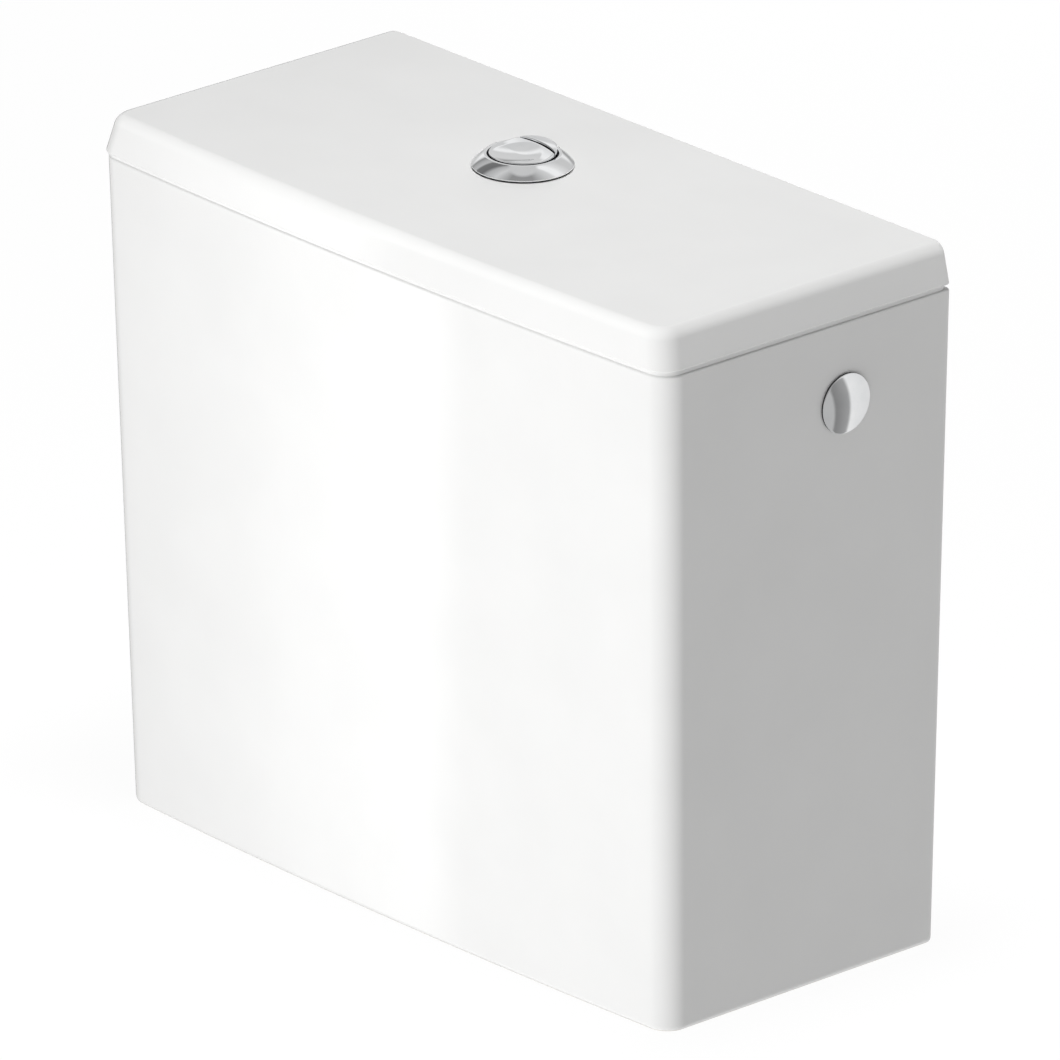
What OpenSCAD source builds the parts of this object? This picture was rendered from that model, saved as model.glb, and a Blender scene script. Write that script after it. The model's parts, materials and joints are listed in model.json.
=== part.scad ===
// Close-coupled toilet cistern with a dual-flush push button, a flush valve and a side-entry fill valve.
// Origin on the outlet axis at the level of the foot, +X to the right, +Y to the wall, +Z up, millimetres.

/* [Tank] */
// Width over the tank's top edge
tank_w = 390; // [380:1:410]
// Depth at the tank's corners, from the wall face to the front, at the top edge
tank_d = 176; // [170:1:186]
// Height of the tank without its lid
tank_h = 325; // [300:1:380]
// How far the front bows out at mid-width
front_bow = 5; // [3:0.5:7]
// How far each side leans in from the top edge to the foot
side_lean = 6.4; // [4:0.2:9]
// How far the front leans in from the top edge to the foot
front_lean = 9.5; // [6:0.5:12]
// Radius of the upright front edges
front_edge_r = 12; // [10:1:16]
// Radius of the upright rear edges
rear_edge_r = 3; // [2.5:0.5:5]
// Radius round the foot
foot_r = 3; // [2:0.5:4]
// Radius of the rim's outer edge
rim_r = 1.5; // [1:0.25:2]
// Thickness of the walls
wall_t = 9; // [8:0.5:10]
// Thickness of the tank floor
floor_t = 11; // [9:0.5:13]
// Height of the hollow under the tank floor
skirt_h = 30; // [28:1:34]
// Distance from the outlet axis to the wall face
outlet_to_wall = 77.5; // [74:0.5:82]
// Distance between the two fixing bolt holes in the floor
bolt_spacing = 150; // [140:1:170]
// Diameter of a fixing bolt hole
bolt_hole_d = 11; // [10:0.5:13]

/* [Lid] */
// Height of the lid from its lower edge to its top
lid_h = 18.7; // [17:0.1:22]
// Height of the open joint between tank and lid
lid_gap = 1.9; // [1.5:0.1:2.5]
// How far the lid stands out over the tank's front
lid_overhang = 1.6; // [1:0.2:2.4]
// How far the lid's sides lean in from its lower edge to its top
lid_side_lean = 4.8; // [3:0.2:6]
// How far the lid's front leans in from its lower edge to its top
lid_front_lean = 2.9; // [2:0.2:5]
// Radius of the lid's top edge
lid_edge_r = 5; // [3:0.5:6]
// Thickness of the lid's top plate
lid_t = 9; // [8:0.5:10]
// How far the lip under the lid reaches down into the tank
lip_drop = 8; // [6:1:10]
// Thickness of the lip
lip_t = 6; // [5:0.5:8]
// Gap between the lip and the tank wall
lip_gap = 2.5; // [2:0.5:3.5]
// Length of a rubber pad between tank and lid
pad_l = 20; // [14:1:30]
// Width of a rubber pad
pad_w = 4.5; // [3:0.5:5]
// Distance from the tank's side to the middle of a pad
pad_in = 5.5; // [5:0.25:6]
// Distance from the tank's front corners to the middle of the front pads
pad_front_in = 40; // [30:1:60]
// Distance from the wall face to the middle of the rear pads
pad_rear_in = 35; // [25:1:50]

/* [Button] */
// Sideways place of the button's axis
button_x = -10.6; // [-14:0.2:-8]
// Diameter of the ring at the lid
ring_d = 47.6; // [46:0.2:52]
// Outer diameter of the ring's top edge
ring_top_d = 36; // [35.6:0.2:37]
// Height of the ring above the lid
ring_h = 6.5; // [5:0.5:8]
// Diameter of the opening for the two plates
opening_d = 33.2; // [32.6:0.2:33.6]
// Gap round the plates
plate_gap = 0.4; // [0.3:0.05:0.6]
// Distance from the axis to the split between the plates, on the chord
split_y = 8.8; // [8:0.2:9.6]
// How far the split bows to the rear at its middle
split_bow = 1.6; // [1:0.2:2]
// Turn of the split about the button's axis
split_turn = -4; // [-6:1:6]
// Thickness of the large plate
plate_t = 8; // [7:0.5:9]
// How far the large plate's top is dished
dish_depth = 1.2; // [0.6:0.1:1.6]
// How far the large plate climbs over the ring at the split
full_rise = 2; // [1:0.25:2.5]
// How far the small plate stands over the ring
half_rise = 3; // [2.5:0.25:4]
// Travel of the plates
press_travel = 7; // [5:0.5:7]
// Thickness of the gasket under the ring
ring_gasket_t = 0.6; // [0.4:0.1:1]
// Outer diameter of the threaded sleeve
sleeve_d = 37; // [36.4:0.2:37.4]
// How far the sleeve hangs below the lid's top
sleeve_l = 36; // [35:0.5:37]
// Height of the sleeve's nut
sleeve_nut_h = 8; // [6:1:10]
// Diameter of the push rods
rod_d = 5; // [4:0.2:5.2]
// Wire diameter of the return springs
spring_wire_d = 0.8; // [0.6:0.1:1]
// Turns of a return spring
spring_turns = 6; // [5:1:7]

/* [Flush valve] */
// Diameter of the threaded tail
tail_d = 59.6; // [58:0.2:61]
// Diameter of the outlet at the tail's mouth
outlet_d = 52; // [50:0.5:53]
// Diameter of the valve seat's bore
seat_d = 49; // [47:0.5:50]
// Diameter of the valve base's flange
flange_d = 84; // [80:1:90]
// Thickness of the flange and of the seal under it
flange_t = 4; // [3:0.5:5]
// Thickness of the base seal
base_seal_t = 3; // [2:0.5:4]
// Height of the ribs between flange and cage ring
cage_h = 50; // [44:1:56]
// Diameter of the overflow tube
tube_d = 32; // [30:0.5:33]
// Wall of the overflow tube
tube_t = 2; // [1.5:0.25:2.5]
// How far the overflow lies below the tank's rim
overflow_drop = 75; // [73:1:79]
// How far the half-flush ports lie below the overflow
port_drop = 110; // [104:1:118]
// How far the float ring's foot lies below the overflow
float_ring_drop = 60; // [54:1:62]
// How far the lever pin lies below the tank's rim
pivot_drop = 42; // [41:0.25:42.5]
// Distance from the lever pin to the push rods
effort_arm = 20.6; // [19:0.2:22]
// Distance from the lever pin to the lift stems
lift_arm = 32; // [30:0.5:34]
// Thickness of the levers
lever_t = 5; // [4:0.25:5.5]
// Diameter of the lever pin
lever_pin_d = 4; // [3:0.25:4.5]
// Diameter of the lift stems
stem_d = 5; // [4:0.25:5]

/* [Fill valve and side holes] */
// Distance of the side holes behind the outlet axis
side_y = 12.4; // [8:0.2:18]
// How far the side holes lie below the tank's rim
side_drop = 39.5; // [35:0.5:43]
// Diameter of the side holes
side_hole_d = 21; // [19:0.5:22]
// Diameter of the inlet shank's thread for the hose
shank_d = 16.6; // [16:0.1:17]
// How far the shank's thread for the nut stands out over the hose thread
shank_step = 0.8; // [0.5:0.1:1]
// Free length of the shank outside its nut
shank_free_l = 18; // [14:1:22]
// Diameter of the water way through the shank
shank_bore_d = 10; // [8:0.5:10.5]
// Thickness of the gaskets inside the wall
side_gasket_t = 3; // [2:0.5:4]
// Diameter of the valve head
head_d = 40; // [36:1:42]
// Distance from the float arm's pin to the adjusting screw
float_arm_l = 52; // [48:1:54]
// Diameter of the float cup
float_d = 40; // [36:1:42]
// Height of the float cup
float_h = 40; // [34:1:44]
// How far the float arm hangs below its shut position, in degrees
float_drop = 20; // [14:1:22]
// Diameter of the fall tube
fall_d = 18; // [16:0.5:19]
// Diameter of the blanking cap
cap_d = 28.9; // [27:0.1:31]
// Thickness of the blanking cap at its edge
cap_t = 0.9; // [0.7:0.1:1.5]
// Rise of the blanking cap's dome
cap_rise = 0.8; // [0.4:0.1:1.2]
// Thickness of the blanking cap's gasket
cap_gasket_t = 0.5; // [0.4:0.1:0.8]

/* [Hidden] */
$fn = 64;

white_glaze = [0.96, 0.96, 0.95];
chrome = [0.80, 0.81, 0.83];
white_plastic = [0.90, 0.91, 0.91];
grey_plastic = [0.62, 0.64, 0.66];
blue_plastic = [0.25, 0.42, 0.62];
black_rubber = [0.09, 0.09, 0.09];
red_rubber = [0.55, 0.20, 0.16];
steel = [0.70, 0.71, 0.72];

// Clearances between pieces
thread_gap = 0.1;
running_gap = 0.05;
touch_gap = 0.3;
tail_gap = 1.5;
seal_gap = 0.5;
sleeve_gap = 0.7;
gasket_inset = 0.3;
// Overlap of shapes within one piece, and how far a cut reaches past a face
eps = 0.01;
join = 1;
cut = 1;

// Levels
floor_z = skirt_h + floor_t;
lid_z = tank_h + lid_gap;
lid_top = lid_z + lid_h;
lid_under = lid_top - lid_t;
front_y = outlet_to_wall - tank_d;
overflow_z = tank_h - overflow_drop;
port_z = overflow_z - port_drop;
float_ring_z = overflow_z - float_ring_drop;
pivot_z = tank_h - pivot_drop;
side_z = tank_h - side_drop;

// Arc segments in the tank's and lid's outline
edge_steps = 6;
front_steps = 12;
rear_steps = 3;

// Least radii of the inner corners
inner_front_r = 2;
inner_rear_r = 1.5;

// Points of an arc from angle a0 to a1
function arc(cx, cy, r, a0, a1, steps) =
    [for (i = [0:steps]) let (a = a0 + (a1 - a0) * i / steps) [cx + r * cos(a), cy + r * sin(a)]];

// Outline seen from above: straight sides and rear, bowed front, rounded corners, counter-clockwise
function outline(half_w, front, rear, bow, front_r, rear_r) =
    let (bow_r = (half_w * half_w + bow * bow) / (2 * bow))
    let (bow_cy = front - bow + bow_r)
    let (edge_x = half_w - front_r)
    let (edge_drop = sqrt(pow(bow_r - front_r, 2) - edge_x * edge_x))
    let (edge_a = -atan2(edge_drop, edge_x))
    let (rear_x = half_w - rear_r)
    concat(
        arc(edge_x, bow_cy - edge_drop, front_r, edge_a, 0, edge_steps),
        arc(rear_x, rear - rear_r, rear_r, 0, 90, rear_steps),
        arc(-rear_x, rear - rear_r, rear_r, 90, 180, rear_steps),
        arc(-edge_x, bow_cy - edge_drop, front_r, 180, 180 - edge_a, edge_steps),
        [for (i = [1:front_steps - 1])
            let (a = 180 - edge_a + (180 + 2 * edge_a) * i / front_steps)
            [bow_r * cos(a), bow_cy + bow_r * sin(a)]]
    );

// Tank outline at height z, set in from the outer face
function tank_ring(z, inset) =
    let (lean = 1 - z / tank_h)
    let (points = outline(
        tank_w / 2 - side_lean * lean - inset, front_y + front_lean * lean + inset,
        outlet_to_wall - inset, front_bow,
        max(front_edge_r - inset, inner_front_r), max(rear_edge_r - inset, inner_rear_r)))
    [for (p = points) [p[0], p[1], z]];

// Lid outline at height h above its lower edge, set in at the front and sides and at the rear
function lid_ring(h, inset, rear_inset) =
    let (lean = h / lid_h)
    let (points = outline(
        tank_w / 2 - lid_side_lean * lean - inset,
        front_y - lid_overhang + lid_front_lean * lean + inset,
        outlet_to_wall - rear_inset, front_bow,
        max(front_edge_r - inset, inner_front_r), max(rear_edge_r - inset, inner_rear_r)))
    [for (p = points) [p[0], p[1], lid_z + h]];

// Closed skin through a list of rings, capped at the first and the last
module loft(rings) {
    n = len(rings[0]);
    last = len(rings) - 1;
    points = [for (ring = rings) each ring];
    sides = [for (k = [0:last - 1], i = [0:n - 1]) let (j = (i + 1) % n) each [
        [k * n + i, (k + 1) * n + i, (k + 1) * n + j],
        [k * n + i, (k + 1) * n + j, k * n + j]]];
    bottom = [for (i = [0:n - 1]) i];
    top = [for (i = [n - 1:-1:0]) last * n + i];
    polyhedron(points, concat([bottom], sides, [top]));
}

module ring(d_out, d_in, h) {
    difference() {
        cylinder(d = d_out, h = h);
        translate([0, 0, -cut]) cylinder(d = d_in, h = h + 2 * cut);
    }
}

// Side wall: local +Z points out of the wall's outer face at a side hole, local +X points down
side_lean_a = atan(side_lean / tank_h);
side_x = tank_w / 2 - side_lean * (1 - side_z / tank_h);

module on_right_wall() {
    translate([side_x, side_y, side_z]) rotate([0, 90 + side_lean_a, 0]) children();
}

module on_left_wall() {
    mirror([1, 0, 0]) on_right_wall() children();
}

// Tank and lid

rim_steps = [0, 30, 60, 90];

module tank() {
    rings = concat(
        [tank_ring(skirt_h, wall_t), tank_ring(0, wall_t)],
        [for (a = rim_steps) tank_ring(foot_r * (1 - cos(a)), foot_r * (1 - sin(a)))],
        [for (a = rim_steps) tank_ring(tank_h - rim_r * (1 - sin(a)), rim_r * (1 - cos(a)))],
        [tank_ring(tank_h, wall_t), tank_ring(floor_z, wall_t)]
    );
    color(white_glaze) difference() {
        loft(rings);
        translate([0, 0, skirt_h - cut]) cylinder(d = tail_d + 2 * tail_gap, h = floor_t + 2 * cut);
        for (s = [-1, 1])
            translate([s * bolt_spacing / 2, 0, skirt_h - cut])
                cylinder(d = bolt_hole_d, h = floor_t + 2 * cut);
        on_right_wall() translate([0, 0, -wall_t - cut]) cylinder(d = side_hole_d, h = wall_t + 2 * cut);
        on_left_wall() translate([0, 0, -wall_t - cut]) cylinder(d = side_hole_d, h = wall_t + 2 * cut);
    }
}

lip_inset = wall_t + lip_gap;
hollow_inset = lip_inset + lip_t;
hollow_h = lid_h - lid_t;
lid_rear_r = 0.8;
lid_hole_d = sleeve_d + 2 * sleeve_gap;

module lid() {
    rings = concat(
        [lid_ring(hollow_h, hollow_inset, hollow_inset), lid_ring(-lip_drop, hollow_inset, hollow_inset)],
        [for (h = [-lip_drop, 0]) lid_ring(h, lip_inset + lid_overhang, lip_inset)],
        [lid_ring(0, 0, 0)],
        [for (a = [0:22.5:90]) lid_ring(
            lid_h - lid_edge_r * (1 - sin(a)), lid_edge_r * (1 - cos(a)), lid_rear_r * (1 - cos(a)))]
    );
    color(white_glaze) difference() {
        loft(rings);
        translate([button_x, 0, lid_under - cut]) cylinder(d = lid_hole_d, h = lid_t + 2 * cut);
    }
}

pad_y = [front_y + pad_front_in, outlet_to_wall - pad_rear_in];

module lid_pads() {
    color(black_rubber)
    for (s = [-1, 1], y = pad_y)
        translate([s * (tank_w / 2 - pad_in) - pad_w / 2, y - pad_l / 2, tank_h])
            cube([pad_w, pad_l, lid_gap]);
}

// Push button

plate_r = opening_d / 2 - plate_gap;
ring_top = lid_top + ring_h;
sleeve_flange_w = 2.3;
sleeve_flange_d = sleeve_d + 2 * sleeve_flange_w;
sleeve_flange_t = 1.8;
sleeve_foot = lid_top - sleeve_l;
sleeve_lip_t = 2;
sleeve_lip_w = 2;
sleeve_nut_w = 10;
ring_edge_h = 0.8;
guide_t = 4;
guide_top = sleeve_foot + sleeve_lip_t + guide_t;
boss_over = 3.5;
boss_z = ring_top - plate_t - press_travel - boss_over;
boss_t = 3;
boss_d = 8;
half_boss_d = 7;
half_foot_w = 8;
full_rod_y = -8;
half_rod_y = 9.5;
split_half_w = sqrt(plate_r * plate_r - split_y * split_y);
split_r = (split_half_w * split_half_w + split_bow * split_bow) / (2 * split_bow);
split_centre_y = split_y + split_bow - split_r;
dish_r = 10;
dish_y = -5;
dish_ball_r = (dish_r * dish_r + dish_depth * dish_depth) / (2 * dish_depth);
climb_y = -2;
climb_l = split_y + split_bow - climb_y;
climb_r = (climb_l * climb_l + full_rise * full_rise) / (2 * full_rise);
half_dome_r = 60;
half_dome_y = split_y + 2;

module at_button(z) {
    translate([button_x, 0, z]) children();
}

module button_gasket() {
    color(black_rubber) at_button(lid_top) ring(ring_d - 2 * gasket_inset, lid_hole_d, ring_gasket_t);
}

module button_ring() {
    color(chrome) at_button(lid_top + ring_gasket_t) difference() {
        union() {
            cylinder(d = ring_d, h = ring_edge_h);
            translate([0, 0, ring_edge_h])
                cylinder(d1 = ring_d, d2 = ring_top_d, h = ring_h - ring_gasket_t - ring_edge_h);
        }
        translate([0, 0, -cut]) cylinder(d = sleeve_flange_d + 2 * thread_gap, h = cut + sleeve_flange_t);
        translate([0, 0, -cut]) cylinder(d = opening_d, h = ring_h + 2 * cut);
    }
}

module button_sleeve() {
    color(grey_plastic) at_button(0) difference() {
        union() {
            translate([0, 0, lid_top + ring_gasket_t]) cylinder(d = sleeve_flange_d, h = sleeve_flange_t);
            translate([0, 0, sleeve_foot]) cylinder(d = sleeve_d, h = sleeve_l + ring_gasket_t + eps);
        }
        translate([0, 0, sleeve_foot + sleeve_lip_t]) cylinder(d = opening_d, h = sleeve_l + ring_h);
        translate([0, 0, sleeve_foot - cut])
            cylinder(d = opening_d - 2 * sleeve_lip_w, h = sleeve_lip_t + 2 * cut);
    }
}

module sleeve_nut() {
    color(white_plastic) at_button(lid_under - sleeve_nut_h) difference() {
        cylinder(d = sleeve_d + 2 * sleeve_nut_w, h = sleeve_nut_h, $fn = 8);
        translate([0, 0, -cut]) cylinder(d = sleeve_d + 2 * thread_gap, h = sleeve_nut_h + 2 * cut);
    }
}

module rod_guide() {
    color(white_plastic) at_button(guide_top - guide_t) difference() {
        cylinder(d = opening_d - 2 * thread_gap, h = guide_t);
        for (y = [full_rod_y, half_rod_y])
            translate([0, y, -cut]) cylinder(d = rod_d + 2 * touch_gap, h = guide_t + 2 * cut);
    }
}

// Region of the small plate seen from above, grown by a gap
module half_region(gap) {
    difference() {
        circle(r = plate_r);
        translate([0, split_centre_y]) circle(r = split_r + gap);
    }
}

// What is cut off above the large plate: level at the front, then a hollow curve up to the split
module above_full() {
    translate([-ring_d / 2, climb_y, ring_top]) {
        translate([0, 0, climb_r]) rotate([0, 90, 0]) cylinder(r = climb_r, h = ring_d, $fn = 256);
        translate([0, -ring_d / 2, 0]) cube([ring_d, ring_d / 2, full_rise + cut]);
    }
}

module full_button() {
    color(chrome) at_button(0) difference() {
        union() {
            rotate([0, 0, split_turn]) difference() {
                translate([0, 0, ring_top - plate_t]) linear_extrude(plate_t + full_rise) intersection() {
                    circle(r = plate_r);
                    translate([0, split_centre_y]) circle(r = split_r - plate_gap / 2);
                }
                above_full();
            }
            translate([0, full_rod_y, boss_z]) cylinder(d = boss_d, h = ring_top - plate_t - boss_z + eps);
        }
        translate([0, dish_y, ring_top - dish_depth + dish_ball_r]) sphere(r = dish_ball_r, $fn = 128);
    }
}

module half_button() {
    color(chrome) at_button(0) {
        rotate([0, 0, split_turn]) intersection() {
            translate([0, 0, boss_z]) linear_extrude(ring_top + half_rise - boss_z)
                half_region(plate_gap / 2);
            translate([0, half_dome_y, ring_top + half_rise - half_dome_r])
                sphere(r = half_dome_r, $fn = 128);
        }
        translate([0, 0, boss_z]) linear_extrude(boss_t) intersection() {
            circle(r = plate_r);
            union() {
                translate([0, half_rod_y]) circle(d = half_boss_d);
                translate([-half_foot_w / 2, half_rod_y]) square([half_foot_w, plate_r]);
            }
        }
    }
}

rod_tip_z = pivot_z + lever_t / 2 + touch_gap;
rod_stop_t = 3;
rod_stop_w = 1.2;
rod_stop_d = rod_d + 2 * rod_stop_w;

module push_rod(y) {
    color(white_plastic) translate([button_x, y, 0]) {
        translate([0, 0, rod_tip_z + rod_d / 2]) {
            cylinder(d = rod_d, h = boss_z - rod_tip_z - rod_d / 2);
            sphere(d = rod_d);
        }
        translate([0, 0, guide_top - guide_t - touch_gap - rod_stop_t])
            cylinder(d = rod_stop_d, h = rod_stop_t);
    }
}

module full_push_rod() {
    push_rod(full_rod_y);
}

module half_push_rod() {
    push_rod(half_rod_y);
}

// Return spring: one unbroken tube along a helix with flat end turns
spring_gap = 0.8;
spring_d = rod_d + 2 * spring_gap + spring_wire_d;
spring_rings = 8;
spring_sides = 6;

spring_low = guide_top + spring_wire_d / 2;
spring_high = boss_z - spring_wire_d / 2;
spring_pitch = (spring_high - spring_low) / (spring_turns - 1);
echo(spring_self_gap = spring_pitch - spring_wire_d);

// Height along the spring, level over the first and the last half turn
function spring_z(turn) = spring_low + spring_pitch * min(max(turn - 0.5, 0), spring_turns - 1);

function spring_ring(i) =
    let (turn = i / spring_rings)
    let (a = 360 * turn)
    [for (k = [0:spring_sides - 1])
        let (b = 360 * k / spring_sides)
        let (r = spring_d / 2 + spring_wire_d / 2 * cos(b))
        [r * cos(a), r * sin(a), spring_z(turn) + spring_wire_d / 2 * sin(b)]];

module return_spring(y) {
    color(steel) translate([button_x, y, 0]) mirror([0, 1, 0])
        loft([for (i = [0:spring_turns * spring_rings]) spring_ring(i)]);
}

module full_spring() {
    return_spring(full_rod_y);
}

module half_spring() {
    return_spring(half_rod_y);
}

// Flush valve

flange_z = floor_z + base_seal_t;
seat_h = 2;
seat_w = 2.5;
seat_z = flange_z + flange_t + seat_h;
cage_top = flange_z + flange_t + cage_h;
cage_ring_t = 6;
cage_inset = 1;
cage_d = flange_d - 2 * cage_inset;
tail_bore_l = 36;
rib_w = 5;
rib_depth = 6;

module valve_base() {
    color(white_plastic) difference() {
        union() {
            cylinder(d = tail_d, h = flange_z + eps);
            translate([0, 0, flange_z]) cylinder(d = flange_d, h = flange_t);
            translate([0, 0, flange_z]) cylinder(d = seat_d + 2 * seat_w, h = seat_z - flange_z);
            translate([0, 0, cage_top]) ring(cage_d, cage_d - 2 * rib_depth, cage_ring_t);
            for (a = [0:60:300])
                rotate([0, 0, a + 30])
                    translate([cage_d / 2 - rib_depth, -rib_w / 2, flange_z])
                        cube([rib_depth - cage_inset, rib_w, flange_t + cage_h + join]);
        }
        translate([0, 0, -cut]) cylinder(d = outlet_d, h = tail_bore_l + cut);
        translate([0, 0, -cut]) cylinder(d = seat_d, h = seat_z + 2 * cut);
    }
}

module base_seal() {
    color(black_rubber) translate([0, 0, floor_z]) ring(flange_d, tail_d + 2 * seal_gap, base_seal_t);
}

back_nut_h = 10;
back_nut_w = 9.2;
back_nut_d = tail_d + 2 * back_nut_w;

module back_nut() {
    color(white_plastic) translate([0, 0, skirt_h - back_nut_h]) difference() {
        cylinder(d = back_nut_d, h = back_nut_h, $fn = 8);
        translate([0, 0, -cut]) cylinder(d = tail_d + 2 * thread_gap, h = back_nut_h + 2 * cut);
    }
}

coupling_w = 10;
coupling_d = back_nut_d + 2 * coupling_w;
coupling_foot = 3;
coupling_h = skirt_h - coupling_foot - seal_gap;

module coupling_gasket() {
    color(black_rubber) difference() {
        translate([0, 0, coupling_foot]) cylinder(d = coupling_d, h = coupling_h);
        cylinder(d = tail_d + 2 * seal_gap, h = skirt_h);
        translate([0, 0, skirt_h - back_nut_h]) cylinder(d = back_nut_d + 2 * seal_gap, h = back_nut_h);
    }
}

pivot_x = button_x + effort_arm;
lift_x = pivot_x + lift_arm;
lever_ys = [full_rod_y, half_rod_y];
lever_pitch = half_rod_y - full_rod_y;
ear_t = 3;
ear_ys = [for (k = [-1:1]) (full_rod_y + half_rod_y) / 2 + k * lever_pitch];
hub_w = 3.5;
hub_d = lever_pin_d + 2 * hub_w;
ear_h = 13;
deck_t = 4;
deck_top = pivot_z - ear_h;
deck_z = deck_top - deck_t;
deck_inset = 9;
deck_half = cage_d / 2 - deck_inset;
deck_over = 8;
deck_right = lift_x + deck_over;
post_d = 7;
post_at = (cage_d / 2 - rib_depth / 2) / sqrt(2);
cage_seat_z = cage_top + cage_ring_t;
bridge_ring_t = 5;

module valve_bridge() {
    color(white_plastic) difference() {
        union() {
            translate([0, 0, cage_seat_z]) ring(cage_d, cage_d - 2 * rib_depth, bridge_ring_t);
            for (sx = [-1, 1], sy = [-1, 1])
                translate([sx * post_at, sy * post_at, cage_seat_z])
                    cylinder(d = post_d, h = deck_z - cage_seat_z + join);
            translate([-deck_half, -deck_half, deck_z])
                cube([deck_right + deck_half, 2 * deck_half, deck_t]);
            for (y = ear_ys) {
                translate([pivot_x - hub_d / 2, y - ear_t / 2, deck_top - join])
                    cube([hub_d, ear_t, ear_h + join]);
                translate([pivot_x, y - ear_t / 2, pivot_z]) rotate([-90, 0, 0])
                    cylinder(d = hub_d, h = ear_t);
            }
        }
        translate([pivot_x, ear_ys[0] - ear_t, pivot_z]) rotate([-90, 0, 0])
            cylinder(d = lever_pin_d + 2 * running_gap, h = 2 * lever_pitch + 2 * ear_t);
        for (y = lever_ys)
            translate([lift_x, y, deck_z - cut]) cylinder(d = stem_d + 2 * touch_gap, h = deck_t + 2 * cut);
    }
}

pin_head_t = 1.5;
pin_head_w = 1.5;
pin_tail_l = 2;

module lever_pin() {
    color(steel) translate([pivot_x, ear_ys[0] - ear_t / 2, pivot_z]) rotate([-90, 0, 0]) {
        translate([0, 0, -pin_head_t]) cylinder(d = lever_pin_d + 2 * pin_head_w, h = pin_head_t);
        cylinder(d = lever_pin_d, h = 2 * lever_pitch + ear_t + pin_tail_l);
    }
}

hub_l = lever_pitch - ear_t - 2 * touch_gap;
lever_w = 7;
fork_gap = 0.6;
prong_w = 2.4;
fork_in = stem_d + 2 * fork_gap;
fork_w = fork_in + 2 * prong_w;

// Lever with a round nose under the push rod and a round-nosed fork under the stem's head
module lever(y) {
    translate([pivot_x, y, pivot_z]) difference() {
        union() {
            rotate([90, 0, 0]) cylinder(d = hub_d, h = hub_l, center = true);
            translate([-effort_arm, -lever_w / 2, -lever_t / 2]) cube([effort_arm, lever_w, lever_t]);
            translate([-effort_arm, 0, 0]) rotate([90, 0, 0])
                cylinder(d = lever_t, h = lever_w, center = true);
            translate([0, -fork_w / 2, -lever_t / 2]) cube([lift_arm, fork_w, lever_t]);
            translate([lift_arm, 0, 0]) rotate([90, 0, 0])
                cylinder(d = lever_t, h = fork_w, center = true);
        }
        rotate([90, 0, 0]) cylinder(d = lever_pin_d + 2 * running_gap, h = hub_l + 2 * cut, center = true);
        translate([lift_arm - fork_in / 2, -fork_in / 2, -lever_t])
            cube([fork_in + lever_t, fork_in, 2 * lever_t]);
    }
}

module full_lever() {
    color(blue_plastic) lever(full_rod_y);
}

module half_lever() {
    color(grey_plastic) lever(half_rod_y);
}

head_t = 3;
stem_head_w = 2.7;
stem_head_d = stem_d + 2 * stem_head_w;
head_z = pivot_z + lever_t / 2 + touch_gap;
arm_t = 6;
arm_w = 6;

// Side arm from the tube to a lift stem with a head on top
module lift_stem(y, arm_z) {
    translate([tube_d / 2 - tube_t, y - arm_w / 2, arm_z])
        cube([lift_x - tube_d / 2 + tube_t + arm_w / 2, arm_w, arm_t]);
    translate([lift_x, y, arm_z]) cylinder(d = stem_d, h = head_z - arm_z + join);
    translate([lift_x, y, head_z]) cylinder(d = stem_head_d, h = head_t);
}

main_seal_t = 3;
tube_foot_gap = 1.5;
tube_foot = flange_z + tube_foot_gap;
seal_w = 5.5;
seal_d = seat_d + 2 * seal_w;
seal_inset = 1;
seal_plate_t = 3;
retainer_gap = 2;
port_h = 16;
port_w = 12;
port_sill = 1;
collar_w = 6;
collar_d = tube_d + 2 * collar_w;
collar_t = 4;
shoulder_w = 4;
shoulder_t = 3;
half_seal_t = 2.5;
lift_arm_drop = 14;
lift_arm_z = overflow_z - lift_arm_drop;

module overflow_tube() {
    color(white_plastic) difference() {
        union() {
            translate([0, 0, tube_foot]) cylinder(d = tube_d, h = overflow_z - tube_foot);
            translate([0, 0, seat_z + main_seal_t]) cylinder(d = seal_d - 2 * seal_inset, h = seal_plate_t);
            translate([0, 0, port_z - collar_t]) cylinder(d = collar_d, h = collar_t);
            translate([0, 0, float_ring_z - shoulder_t])
                cylinder(d = tube_d + 2 * shoulder_w, h = shoulder_t);
            lift_stem(full_rod_y, lift_arm_z);
        }
        translate([0, 0, tube_foot - cut])
            cylinder(d = tube_d - 2 * tube_t, h = overflow_z - tube_foot + 2 * cut);
        for (a = [0, 90])
            rotate([0, 0, a])
                translate([-tube_d, -port_w / 2, port_z + half_seal_t + port_sill])
                    cube([2 * tube_d, port_w, port_h]);
    }
}

module main_seal() {
    color(red_rubber) translate([0, 0, seat_z]) ring(seal_d, tube_d + 2 * thread_gap, main_seal_t);
}

module seal_retainer() {
    color(grey_plastic) translate([0, 0, tube_foot])
        ring(seat_d - 2 * retainer_gap, tube_d + 2 * thread_gap, seat_z - tube_foot);
}

float_ring_gap = 5;
float_ring_wall = 2;
float_ring_d = cage_d - 2 * rib_depth - 2 * float_ring_gap;
float_ring_h = 40;

module float_ring() {
    color(blue_plastic) translate([0, 0, float_ring_z]) difference() {
        ring(float_ring_d, tube_d + 2 * thread_gap, float_ring_h);
        translate([0, 0, -cut]) ring(float_ring_d - 2 * float_ring_wall, tube_d + 2 * float_ring_wall,
            float_ring_h + cut - float_ring_wall);
    }
}

half_sleeve_t = 4;
half_sleeve_h = 30;

module half_sleeve() {
    sleeve_z = port_z + half_seal_t;
    color(grey_plastic) difference() {
        union() {
            translate([0, 0, sleeve_z]) cylinder(d = tube_d + 2 * half_sleeve_t, h = half_sleeve_h);
            lift_stem(half_rod_y, sleeve_z + half_sleeve_h - arm_t);
        }
        translate([0, 0, sleeve_z - cut]) cylinder(d = tube_d + 2 * touch_gap, h = half_sleeve_h + 2 * cut);
    }
}

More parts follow.
